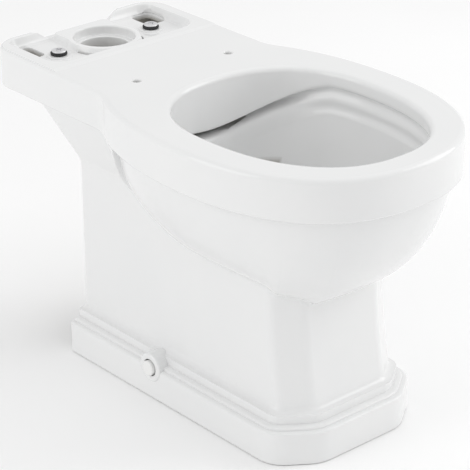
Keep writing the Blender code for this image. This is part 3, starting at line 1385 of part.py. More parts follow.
def bracket_work(side):
    """An L-shaped floor bracket: upright leg by the plinth's wall, foot along the floor."""
    outer = PEDESTAL_HALF - HOLLOW_WALL - SEAT_GAP
    inner = outer - BRACKET_THICKNESS
    end = outer - BRACKET_FOOT
    large, small = BRACKET_BEND, BRACKET_BEND - BRACKET_THICKNESS
    outline = [(outer, BRACKET_HEIGHT), (outer, large)]
    outline += quadratic_arc((outer, large), (outer, 0), (outer - large, 0), 4)[1:]
    outline += [(outer - large, 0), (end, 0), (end, BRACKET_THICKNESS), (inner - small, BRACKET_THICKNESS)]
    start = (inner - small, BRACKET_THICKNESS)
    outline += quadratic_arc(start, (inner, BRACKET_THICKNESS), (inner, BRACKET_THICKNESS + small), 4)[1:]
    outline += [(inner, BRACKET_THICKNESS + small), (inner, BRACKET_HEIGHT)]
    half = BRACKET_WIDTH / 2
    work = loft([[(x, FIXING_Y + y, z) for x, z in outline] for y in (-half, half)])
    return mirrored(work, side)


def bracket_holes(side):
    """The bracket's screw hole and its floor hole."""
    deep = -PLINTH_OUTSET - HOLLOW_WALL - BRACKET_THICKNESS - OVERRUN
    across = [(0, deep), (BRACKET_HOLE_RADIUS, deep), (BRACKET_HOLE_RADIUS, 0), (0, 0)]
    work = placed(lie_down(turned(across, ROUND_DIVISIONS), side), Matrix.Translation(fixing_place(side)))
    r = BRACKET_FOOT_HOLE_RADIUS
    down = [(0, -OVERRUN), (r, -OVERRUN), (r, OVERRUN), (0, OVERRUN)]
    x = side * (PEDESTAL_HALF - HOLLOW_WALL - BRACKET_FOOT_HOLE_REACH)
    floor_hole = placed(turned(down, ROUND_DIVISIONS), Matrix.Translation((x, FIXING_Y, 0)))
    return joined([work, floor_hole])


def nut_work():
    """The hexagon nut behind a bracket, on the screw's axis."""
    r, bore = NUT_ACROSS_CORNERS / 2, SCREW_RADIUS + BORE_CLEARANCE
    work = bmesh.new()
    count = NUT_DIVISIONS
    rings = []
    for height in (-NUT_THICKNESS, 0):
        for radius_of in (lambda a: bore, hexagon_radius):
            turn = [2 * math.pi * i / count for i in range(count)]
            points = [(radius_of(a) * math.cos(a), radius_of(a) * math.sin(a), height) for a in turn]
            rings.append([work.verts.new(point) for point in points])
    inner_low, outer_low, inner_high, outer_high = rings
    round_trip = (inner_low, outer_low, outer_high, inner_high, inner_low)
    for low, high in zip(round_trip, round_trip[1:]):
        for i in range(count):
            j = (i + 1) % count
            work.faces.new((low[i], low[j], high[j], high[i]))
    return work


def hexagon_radius(angle):
    """Distance from the centre of the hexagon nut to its edge."""
    sector = math.pi / 3
    offset = (angle % sector) - sector / 2
    return NUT_ACROSS_CORNERS / 2 * math.cos(sector / 2) / math.cos(offset)


def make_fixings(plated, plastic, cap_plastic):
    """Both side fixings: sleeve, screw, cover cap, floor bracket and nut."""
    for side, label in SIDES.items():
        place = fixing_place(side)
        piece(f"{label}_fixing_sleeve", lie_down(sleeve_work(), side), plastic, place)
        head_seat = (place[0] + side * SEAT_GAP, place[1], place[2])
        screw = piece(f"{label}_fixing_screw", lie_down(screw_work(), side), plated, head_seat)
        recess = lie_down(cross_recess(SCREW_HEAD_HEIGHT, SCREW_HEAD_RADIUS), side)
        cross = cutter(f"{label}_screw_cross_cut", recess)
        cross.location = head_seat
        combine(screw, cross, "DIFFERENCE")
        piece(f"{label}_fixing_cap", lie_down(cap_work(), side), cap_plastic, place)
        bracket = piece(f"{label}_floor_bracket", bracket_work(side), plated, (0, 0, 0))
        combine(bracket, cutter(f"{label}_bracket_holes_cut", bracket_holes(side)), "DIFFERENCE")
        back = PEDESTAL_HALF - HOLLOW_WALL - BRACKET_THICKNESS - 2 * SEAT_GAP
        piece(f"{label}_bracket_nut", lie_down(nut_work(), side), plated, (side * back, place[1], place[2]))


# Scene

def clear_scene():
    """Removes whatever the scene holds."""
    for old in list(bpy.data.objects):
        bpy.data.objects.remove(old, do_unlink=True)


def main():
    """Builds every piece."""
    clear_scene()
    china = material("glazed_china", (0.90, 0.90, 0.89), 0.08, coat=0.6)
    steel = material("stainless_steel", (0.62, 0.62, 0.63), 0.28, metallic=1.0)
    plated = material("zinc_plated_steel", (0.58, 0.59, 0.60), 0.38, metallic=1.0)
    rubber = material("black_rubber", (0.020, 0.020, 0.021), 0.75)
    plastic = material("grey_plastic", (0.33, 0.33, 0.34), 0.50)
    cap_plastic = material("white_plastic", (0.86, 0.86, 0.85), 0.22)
    make_pan(china)
    make_bolts(steel, plated, rubber)
    make_fixings(plated, plastic, cap_plastic)


main()
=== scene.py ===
"""Dresses a close-coupled rimless toilet pan: its glazed china, cistern bolts, floor fixings, studio and camera."""

import logging
import math
from dataclasses import dataclass, field
from enum import Enum
from typing import Callable, Sequence

import bpy
import numpy as np
from mathutils import Matrix, Vector


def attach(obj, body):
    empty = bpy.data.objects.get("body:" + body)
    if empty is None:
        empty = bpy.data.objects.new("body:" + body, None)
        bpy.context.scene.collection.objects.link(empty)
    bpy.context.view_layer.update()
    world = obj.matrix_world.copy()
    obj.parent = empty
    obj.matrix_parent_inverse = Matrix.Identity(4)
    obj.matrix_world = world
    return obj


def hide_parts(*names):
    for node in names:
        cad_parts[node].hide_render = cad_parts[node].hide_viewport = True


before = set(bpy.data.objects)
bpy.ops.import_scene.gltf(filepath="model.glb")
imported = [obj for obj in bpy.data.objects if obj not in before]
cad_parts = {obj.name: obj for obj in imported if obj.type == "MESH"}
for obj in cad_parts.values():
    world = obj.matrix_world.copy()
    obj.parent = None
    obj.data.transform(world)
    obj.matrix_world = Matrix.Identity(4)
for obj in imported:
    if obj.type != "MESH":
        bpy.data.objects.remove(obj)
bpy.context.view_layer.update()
LOG = logging.getLogger("pan")
CASTING = ("plinth", "pedestal", "sump", "trapway", "outlet", "right_bowl", "left_bowl", "rim", "neck", "skirt",
           "flush_way", "flush_cover", "right_deck", "left_deck", "right_platform", "left_platform")
QUARTER = math.pi / 2
# Edge angles, in degrees, above which an edge stays sharp, and how far large faces rule the shading
CHINA_ANGLE = 34.0
FASTENER_ANGLE = 40.0
FACE_WEIGHT = 60
# How far bare china's marks reach past the walls, and how near an edge's middle and direction have to be
MARK_GAP = 0.0004
NEAR = 0.00001
ALONG = 0.9
# Where a threaded shank ends inside its head, and the size of the plane that is merged into a lathe's first point
SHANK_ROOT = 0.0006
SEED = 0.001
# Reach of the drills, along their own axis
BORE_REACH = 0.02
FLOOR_REACH = 0.01
WING_BORE = (-0.03, 0.01)
NUT_BORE = (-0.02, 0.01)

Piece = bpy.types.Object
Finish = bpy.types.Material
Socket = bpy.types.NodeSocket
Colour = tuple[float, float, float]
Point = tuple[float, float]
Plan = list[Point]
Ring = list[tuple[float, float, float]]


class Side(Enum):
    """The two halves of the pan, with the sign of X on each."""

    RIGHT = 1
    LEFT = -1

    @property
    def label(self) -> str:
        """The word that starts the names of this side's pieces."""
        return self.name.lower()

    @property
    def mirror(self) -> Matrix:
        """Takes what is drawn for the right to this side."""
        return Matrix.Diagonal((self.value, 1, 1, 1))


class Joining(Enum):
    """The ways one shape acts on another."""

    ADD = "UNION"
    CUT = "DIFFERENCE"
    KEEP = "INTERSECT"


# Finishes


class NodeFinish:
    """A node material in the making, with its Principled shader."""

    def __init__(self, name: str) -> None:
        """Starts a material of the given name."""
        self.made = bpy.data.materials.new(name)
        self.made.use_nodes = True
        self.nodes = self.made.node_tree.nodes
        self.shader = self.nodes["Principled BSDF"]

    def link(self, source: Socket, target: Socket) -> None:
        """Joins two sockets."""
        self.made.node_tree.links.new(source, target)

    def feed(self, source: Socket, name: str) -> None:
        """Joins a socket to one of the shader's inputs."""
        self.link(source, self.shader.inputs[name])

    def noise(self, scale: float, detail: float, stretch: Sequence[float] = (1, 1, 1)) -> Socket:
        """Adds a noise pattern on the object's own coordinates.

        Args:
            scale: Waves in each metre.
            detail: Octaves of finer noise.
            stretch: How much closer the waves lie along X, Y and Z.

        Returns:
            The noise's value.
        """
        place = self.nodes.new("ShaderNodeTexCoord")
        mapping = self.nodes.new("ShaderNodeMapping")
        mapping.inputs["Scale"].default_value = tuple(stretch)
        pattern = self.nodes.new("ShaderNodeTexNoise")
        pattern.inputs["Scale"].default_value = scale
        pattern.inputs["Detail"].default_value = detail
        self.link(place.outputs["Object"], mapping.inputs["Vector"])
        self.link(mapping.outputs["Vector"], pattern.inputs["Vector"])
        return pattern.outputs["Fac"]

    def ramp(self, value: Socket, low: Sequence[float], high: Sequence[float], start: float = 0.35,
             end: float = 0.65) -> Socket:
        """Turns a value into a blend of two colours.

        Args:
            value: The value.
            low: The colour below start.
            high: The colour above end.
            start: The value where the blend begins.
            end: The value where it ends.

        Returns:
            The colour.
        """
        made = self.nodes.new("ShaderNodeValToRGB")
        for element, position, colour in zip(made.color_ramp.elements, (start, end), (low, high)):
            element.position = position
            element.color = (*colour, 1)
        self.link(value, made.inputs["Fac"])
        return made.outputs["Color"]

    def spread(self, value: Socket, low: float, high: float) -> Socket:
        """Maps a value from 0 to 1 onto another range.

        Args:
            value: The value.
            low: The result at 0.
            high: The result at 1.

        Returns:
            The mapped value.
        """
        made = self.nodes.new("ShaderNodeMapRange")
        made.inputs["To Min"].default_value = low
        made.inputs["To Max"].default_value = high
        self.link(value, made.inputs["Value"])
        return made.outputs["Result"]

    def bump(self, height: Socket, distance: float, strength: float) -> None:
        """Gives the shader a fine relief.

        Args:
            height: The relief's height, from 0 to 1.
            distance: Its depth in metres.
            strength: Its weight.
        """
        made = self.nodes.new("ShaderNodeBump")
        made.inputs["Distance"].default_value = distance
        made.inputs["Strength"].default_value = strength
        self.link(height, made.inputs["Height"])
        self.feed(made.outputs["Normal"], "Normal")


@dataclass(frozen=True)
class GlazedChina:
    """White gloss glaze over vitreous china, bare and matt where the mesh's raw attribute is one."""

    name: str = "glazed_china"
    light: Colour = (0.835, 0.837, 0.835)
    deep: Colour = (0.820, 0.824, 0.824)
    body: Colour = (0.42, 0.405, 0.375)
    body_shade: float = 0.94
    gloss: tuple[float, float] = (0.075, 0.13)
    raw_roughness: float = 0.72
    refraction: float = 1.52
    pool_scale: float = 7.0
    grain_scale: float = 420.0
    wave_scale: float = 24.0
    wave_depth: float = 0.00010
    wave_strength: float = 0.35

    def paint(self) -> Finish:
        """Builds the glaze.

        Returns:
            The material.
        """
        work = NodeFinish(self.name)
        glaze = work.ramp(work.noise(self.pool_scale, detail=3.0), self.deep, self.light)
        shade = tuple(c * self.body_shade for c in self.body)
        bisque = work.ramp(work.noise(self.grain_scale, detail=4.0), shade, self.body)
        raw = work.nodes.new("ShaderNodeAttribute")
        raw.attribute_name = "raw"
        colour = work.nodes.new("ShaderNodeMix")
        colour.data_type = "RGBA"
        wave = work.noise(self.wave_scale, detail=2.0)
        rough = work.nodes.new("ShaderNodeMix")
        rough.inputs["B"].default_value = self.raw_roughness
        work.link(glaze, colour.inputs["A"])
        work.link(bisque, colour.inputs["B"])
        work.link(work.spread(wave, *self.gloss), rough.inputs["A"])
        for mix, name in ((colour, "Base Color"), (rough, "Roughness")):
            work.link(raw.outputs["Fac"], mix.inputs["Factor"])
            work.feed(mix.outputs["Result"], name)
        work.shader.inputs["IOR"].default_value = self.refraction
        work.bump(wave, self.wave_depth, self.wave_strength)
        return work.made


@dataclass(frozen=True)
class Metal:
    """Plated or polished steel with fine turning marks."""

    name: str
    light: Colour
    dark: Colour
    roughness: tuple[float, float]
    marks: float
    cloud_scale: float = 160.0
    mark_scale: float = 900.0
    mark_stretch: Colour = (1, 1, 4)
    mark_depth: float = 0.00004

    def paint(self) -> Finish:
        """Builds the metal.

        Returns:
            The material.
        """
        work = NodeFinish(self.name)
        work.shader.inputs["Metallic"].default_value = 1.0
        work.feed(work.ramp(work.noise(self.cloud_scale, detail=3.0), self.dark, self.light), "Base Color")
        brushed = work.noise(self.mark_scale, 2.0, self.mark_stretch)
        work.feed(work.spread(brushed, *self.roughness), "Roughness")
        work.bump(brushed, self.mark_depth, self.marks)
        return work.made


@dataclass(frozen=True)
class Moulded:
    """Moulded rubber or plastic, its colour and gloss drifting with the fine relief of its skin."""

    name: str
    light: Colour
    dark: Colour
    roughness: tuple[float, float]
    scale: float = 520.0
    detail: float = 3.0
    depth: float = 0.00005
    strength: float = 0.25
    blend: tuple[float, float] = (0.35, 0.65)

    def paint(self) -> Finish:
        """Builds the material.

        Returns:
            The material.
        """
        work = NodeFinish(self.name)
        skin = work.noise(self.scale, self.detail)
        work.feed(work.ramp(skin, self.dark, self.light, *self.blend), "Base Color")
        work.feed(work.spread(skin, *self.roughness), "Roughness")
        work.bump(skin, self.depth, self.strength)
        return work.made


@dataclass(frozen=True)
class StudioFloor:
    """A plain pale floor with the slightest variation."""

    name: str = "studio_floor"
    light: Colour = (0.97, 0.97, 0.97)
    dark: Colour = (0.955, 0.955, 0.955)
    roughness: float = 0.85
    scale: float = 2.0

    def paint(self) -> Finish:
        """Builds the floor's finish.

        Returns:
            The material.
        """
        work = NodeFinish(self.name)
        work.feed(work.ramp(work.noise(self.scale, detail=2.0), self.dark, self.light), "Base Color")
        work.shader.inputs["Roughness"].default_value = self.roughness
        return work.made


# The bench: small modelling steps that every piece is made with


def clear_selection() -> None:
    """Leaves edit mode and deselects everything."""
    if bpy.context.mode != "OBJECT":
        bpy.ops.object.mode_set(mode="OBJECT")
    bpy.ops.object.select_all(action="DESELECT")


def take(piece: Piece) -> None:
    """Makes one object the selected and active one."""
    clear_selection()
    piece.select_set(True)
    bpy.context.view_layer.objects.active = piece


def edit_all() -> None:
    """Goes into edit mode with all of the active mesh selected."""
    bpy.ops.object.mode_set(mode="EDIT")
    bpy.ops.mesh.select_all(action="SELECT")


def leave_edit() -> None:
    """Goes back to object mode."""
    bpy.ops.object.mode_set(mode="OBJECT")


def apply_transform() -> None:
    """Puts the active object's place, turn and size into its mesh."""
    bpy.ops.object.transform_apply(location=True, rotation=True, scale=True)


def mend(piece: Piece, fill: bool = False, merge: float = 0.000002) -> None:
    """Merges a mesh's doubled points, closes its ends and turns its faces outwards.

    Args:
        piece: The object to mend.
        fill: Whether open ends are closed with flat faces.
        merge: Distance under which points are merged.
    """
    take(piece)
    edit_all()
    bpy.ops.mesh.remove_doubles(threshold=merge)
    bpy.ops.mesh.dissolve_degenerate(threshold=merge)
    if fill:
        bpy.ops.mesh.select_all(action="SELECT")
        bpy.ops.mesh.fill_holes(sides=0)
    bpy.ops.mesh.select_all(action="SELECT")
    bpy.ops.mesh.normals_make_consistent(inside=False)
    leave_edit()


def lay_skin(name: str, rings: Sequence[Ring], ends: bool = True) -> Piece:
    """Lays a grid round a form, one row of the grid on each ring.

    Args:
        name: The object's name.
        rings: Rings of equally many points, from one end of the form to the other.
        ends: Whether the two ends are closed with flat faces; a form that meets itself has none.

    Returns:
        The closed object.
    """
    clear_selection()
    across, along = len(rings[0]), len(rings) - 1
    bpy.ops.mesh.primitive_grid_add(x_subdivisions=across, y_subdivisions=along, size=1)
    piece = bpy.context.object
    piece.name = name
    points = np.array([[*ring, ring[0]] for ring in rings], np.float32)
    piece.data.vertices.foreach_set("co", points.ravel())
    piece.data.update()
    mend(piece, ends)
    return piece


def round_trip(count: int) -> list[float]:
    """Evenly spaced angles of a whole turn."""
    return [2 * math.pi * i / count for i in range(count)]


def quarter_trip(count: int) -> list[float]:
    """Evenly spaced angles of a quarter turn, with both its ends."""
    return [QUARTER * i / count for i in range(count + 1)]


def held(share: float) -> float:
    """A share kept between 0 and 1."""
    return min(1.0, max(0.0, share))


def eased(share: float) -> float:
    """A share that starts and ends gently."""
    return share * share * (3 - 2 * share)


def turn_tool(name: str, profile: Plan, steps: int) -> Piece:
    """Turns a profile about the Z axis with its points laid exactly, for the tools that meet other faces.

    Args:
        name: The object's name.
        profile: (radius, height) points, from the axis and back to it.
        steps: Sides round the axis.

    Returns:
        The closed object.
    """
    turn = round_trip(steps)
    rings = [[(radius * math.cos(a), radius * math.sin(a), height) for a in turn] for radius, height in profile]
    return lay_skin(name, rings, ends=False)


def act(target: Piece, tool: Piece, joining: Joining) -> Piece:
    """Joins or cuts a piece with a tool, which is used up.

    Args:
        target: The piece.
        tool: The closed shape that acts on it.
        joining: What the tool does.

    Returns:
        The piece.
    """
    take(target)
    modifier = target.modifiers.new("act", "BOOLEAN")
    modifier.operation = joining.value
    modifier.solver = "MANIFOLD"
    modifier.object = tool
    bpy.ops.object.modifier_apply(modifier=modifier.name)
    bpy.data.objects.remove(tool, do_unlink=True)
    return target


def place(piece: Piece, matrix: Matrix) -> Piece:
    """Moves a mesh to its place and leaves its object at the origin.

    Args:
        piece: The object.
        matrix: Where the mesh goes.

    Returns:
        The object.
    """
    piece.data.transform(matrix)
    if matrix.determinant() < 0:
        piece.data.flip_normals()
    piece.data.update()
    return piece


def soften(piece: Piece, angle: float) -> None:
    """Shades a piece smooth, keeps its real edges and lets its large faces rule the shading.

    Args:
        piece: The object.
        angle: The edge angle, in degrees, above which an edge stays sharp.
    """
    take(piece)
    bpy.ops.object.shade_smooth_by_angle(angle=math.radians(angle))
    modifier = piece.modifiers.new("weighted", "WEIGHTED_NORMAL")
    modifier.keep_sharp = True
    modifier.weight = FACE_WEIGHT
    bpy.ops.object.modifier_apply(modifier=modifier.name)


def lathe(name: str, profile: Plan, steps: int = 72, bore: bool = False) -> Piece:
    """Draws a profile by extruding a point along it, then spins it about the Z axis.

    Args:
        name: The object's name.
        profile: (radius, height) points.
        steps: Sides round the axis.
        bore: Whether the last point joins the first, which leaves a hole along the axis.

    Returns:
        The closed object.
    """
    clear_selection()
    bpy.ops.mesh.primitive_plane_add(size=SEED)
    piece = bpy.context.object
    piece.name = name
    bpy.ops.object.mode_set(mode="EDIT")
    bpy.ops.mesh.select_mode(type="VERT")
    bpy.ops.mesh.select_all(action="SELECT")
    bpy.ops.mesh.merge(type="CENTER")
    bpy.ops.transform.translate(value=(profile[0][0], 0, profile[0][1]))
    walk = [*profile, profile[0]] if bore else profile
    for (r, z), (next_r, next_z) in zip(walk, walk[1:]):
        bpy.ops.mesh.extrude_vertices_move(TRANSFORM_OT_translate={"value": (next_r - r, 0, next_z - z)})
    bpy.ops.mesh.select_all(action="SELECT")
    bpy.ops.mesh.spin(steps=steps, angle=2 * math.pi, center=(0, 0, 0), axis=(0, 0, 1))
    leave_edit()
    mend(piece)
    return piece


def thread(name: str, radius: float, length: float, pitch: float, depth: float) -> Piece:
    """A threaded shank along the Z axis, below height zero: a V-shaped ridge that climbs round a core.

    Args:
        name: The object's name.
        radius: Radius of the ridge's crest.
        length: How far the shank reaches down.
        pitch: Rise in one turn.
        depth: Depth of the V.

    Returns:
        The closed shank, its root a little above height zero.
    """
    low, high = -length, SHANK_ROOT
    around, rows, rings = 40, 8, []
    count = int((high - low) / pitch * rows)
    for i in range(count + 1):
        z = low + (high - low) * i / count
        fade = min(1.0, i / rows, (count - i) / rows)
        ring = []
        for k, a in enumerate(round_trip(around)):
            phase = (z / pitch - k / around) % 1.0
            r = radius - depth + depth * (1 - abs(2 * phase - 1)) * fade
            ring.append((r * math.cos(a), r * math.sin(a), z))
        rings.append(ring)
    return lay_skin(name, rings)


def cross_tool(length: float, width: float, bottom: float, top: float) -> Piece:
    """A driver's cross as a tool: two bars with rounded edges.

    Args:
        length: Length of each bar.
        width: Width of each bar.
        bottom: Height of the recess's floor.
        top: Height of the tool's upper end.

    Returns:
        The closed tool.
    """
    bars, rounding = [], 0.28
    for turn in (0, QUARTER):
        clear_selection()
        bpy.ops.mesh.primitive_cube_add(size=1, location=(0, 0, (bottom + top) / 2), rotation=(0, 0, turn))
        bar = bpy.context.object
        bar.scale = (length, width, top - bottom)
        apply_transform()
        edit_all()
        bpy.ops.mesh.bevel(offset=width * rounding, segments=3, affect="EDGES")
        leave_edit()
        bars.append(bar)
    return act(*bars, Joining.ADD)


def bevel_edges(piece: Piece, wanted: Callable[[Vector, Vector], bool], width: float, steps: int) -> None:
    """Rounds the chosen edges of a piece.

    Args:
        piece: The object.
        wanted: Takes an edge's middle and its unit direction, and says whether it is rounded.
        width: Width of the rounding.
        steps: Faces across it.
    """
    take(piece)
    bpy.ops.object.mode_set(mode="EDIT")
    bpy.ops.mesh.select_mode(type="EDGE")
    bpy.ops.mesh.select_all(action="DESELECT")
    leave_edit()
    points = piece.data.vertices
    for edge in piece.data.edges:
        start, end = (points[i].co for i in edge.vertices)
        edge.select = wanted((start + end) / 2, (end - start).normalized())
    bpy.ops.object.mode_set(mode="EDIT")
    bpy.ops.mesh.bevel(offset=width, segments=steps, affect="EDGES")
    leave_edit()


def drum(radius: float, low: float, high: float, sides: int = 72) -> Piece:
    """A plain cylinder or prism along the Z axis.

    Args:
        radius: Its radius.
        low: Height of its lower end.
        high: Height of its upper end.
        sides: Sides round the axis.

    Returns:
        The object.
    """
    clear_selection()
    middle = (0, 0, (low + high) / 2)
    bpy.ops.mesh.primitive_cylinder_add(vertices=sides, radius=radius, depth=high - low, location=middle)
    made = bpy.context.object
    apply_transform()
    return made


def fit_pair(master: Piece, node: str, body: str, finish: Finish, places: Sequence[Matrix]) -> None:
    """Puts a modelled piece on both sides, dressed and in the frame; the master is used up.

    Args:
        master: The piece as modelled.
        node: The CAD node that it replaces, without the side.
        body: The body that it rides on, without the side; empty for the pan itself.
        finish: Its material.
        places: Its place on each side.
    """
    for side, matrix in zip(Side, places):
        piece = master.copy()
        piece.data = master.data.copy()
        piece.name = f"{side.label}_{node}_model"
        bpy.context.scene.collection.objects.link(piece)
        place(piece, matrix)
        piece.data.materials.clear()
        piece.data.materials.append(finish)
        soften(piece, FASTENER_ANGLE)
        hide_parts(f"{side.label}_{node}")
        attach(piece, f"{side.label}_{body}" if body else "pan")
        LOG.info("%s: %d faces", piece.name, len(piece.data.polygons))
    bpy.data.objects.remove(master, do_unlink=True)


# Plan curves


def steps_between(start: Sequence[float], end: Sequence[float], count: int) -> Plan:
    """Points from start towards end, without the end itself."""
    a, b = Vector(start), Vector(end)
    return [tuple(a.lerp(b, i / count)) for i in range(count)]


def bend(start: Sequence[float], control: Sequence[float], end: Sequence[float], count: int) -> Plan:
    """Points of a quadratic curve, without its end."""
    a, c, b = Vector(start), Vector(control), Vector(end)
    return [tuple(a.lerp(c, i / count).lerp(c.lerp(b, i / count), i / count)) for i in range(count)]


def quarter(start: Sequence[float], corner: Sequence[float], end: Sequence[float], count: int) -> Plan:
    """A quarter turn from start to end round a square corner, without its end."""
    a, b = Vector(start), Vector(end)
    centre = a + b - Vector(corner)
    turn = [QUARTER * i / count for i in range(count)]
    return [tuple(centre + (a - centre) * math.cos(t) + (b - centre) * math.sin(t)) for t in turn]


def rounded(*corners: Sequence[float]) -> Plan:
    """Draws a line through points, the square corners among them rounded.

    Args:
        corners: Each point as (x, y), or a corner to be rounded as (x, y, radius, steps). The first and last point
            are neighbours too, so that a closed outline can be rounded all round.

    Returns:
        The line's points.
    """
    line = []
    for i, (x, y, *turn) in enumerate(corners):
        if turn:
            ends = []
            for other in (corners[i - 1], corners[(i + 1) % len(corners)]):
                run = math.hypot(other[0] - x, other[1] - y)
                ends.append((x + (other[0] - x) / run * turn[0], y + (other[1] - y) / run * turn[0]))
            line += [*quarter(ends[0], (x, y), ends[1], turn[1]), ends[1]]
        elif not line or line[-1] != (x, y):
            line.append((x, y))
    return line


def round_corner(before: Sequence[float], corner: Sequence[float], after: Sequence[float],
                 radius: float, count: int) -> tuple[Plan, Point]:
    """Draws a corner as a curve.

    Args:
        before: A point on the edge that comes in.
        corner: The sharp corner.
        after: A point on the edge that leaves.
        radius: How far from the corner the curve starts and ends.
        count: Steps along the curve.

    Returns:
        The curve's points without its end, and its end.
    """
    c = Vector(corner)
    start = c + (Vector(before) - c).normalized() * radius
    end = c + (Vector(after) - c).normalized() * radius
    return bend(start, corner, end, count), tuple(end)


def moved_out(points: Plan, distances: Sequence[float]) -> Plan:
    """Moves each point of a half outline outwards, square to the outline.

    Args:
        points: The half outline, from the middle of the rear to the middle of the front.
        distances: How far each point moves.

    Returns:
        The moved points.
    """
    result = []
    last = len(points) - 1
    for i, point in enumerate(points):
        before = points[i - 1] if i else (-points[1][0], points[1][1])
        after = points[i + 1] if i < last else (-points[last - 1][0], points[last - 1][1])
        along = (Vector(after) - Vector(before)).normalized()
        outward = Vector((-along.y, along.x))
        result.append(tuple(Vector(point) + outward * distances[i]))
    return result


def full_ring(half: Ring) -> Ring:
    """A whole ring from half of it, the other half mirrored across X = 0."""
    return half + [(-x, y, z) for x, y, z in reversed(half[1:-1])]


def raised(outline: Plan, height: float) -> Ring:
    """An outline at one height."""
    return [(x, y, height) for x, y in outline]


def oval_radius(angle: float, half: float, front: float, rear: float, front_power: float, rear_power: float) -> float:
    """Distance from an oval's centre to its edge.

    Args:
        angle: Direction in plan; below zero looks to the front.
        half: Half width.
        front: Reach to the front.
        rear: Reach to the rear.
        front_power: Squareness of the front half.
        rear_power: Squareness of the rear half.

    Returns:
        The distance.
    """
    reach, power = (front, front_power) if angle < 0 else (rear, rear_power)
    across = abs(math.cos(angle) / half) ** power
    along = abs(math.sin(angle) / reach) ** power
    return (across + along) ** (-1 / power)


@dataclass
class PanFrame:
    """Sizes that several parts of the pan keep to, and how far a tool runs past a face."""

    height: float = 0.420
    deck: float = 0.418
    rear: float = 0.335
    shelf_under: float = 0.364
    neck_foot: float = 0.281
    crease_front: float = 0.206
    flare: float = 0.016
    plinth_rear: float = 0.205
    tray_roof: float = 0.399
    inlet_y: float = 0.265
    inlet_top: float = 0.4155
    overrun: float = 0.010


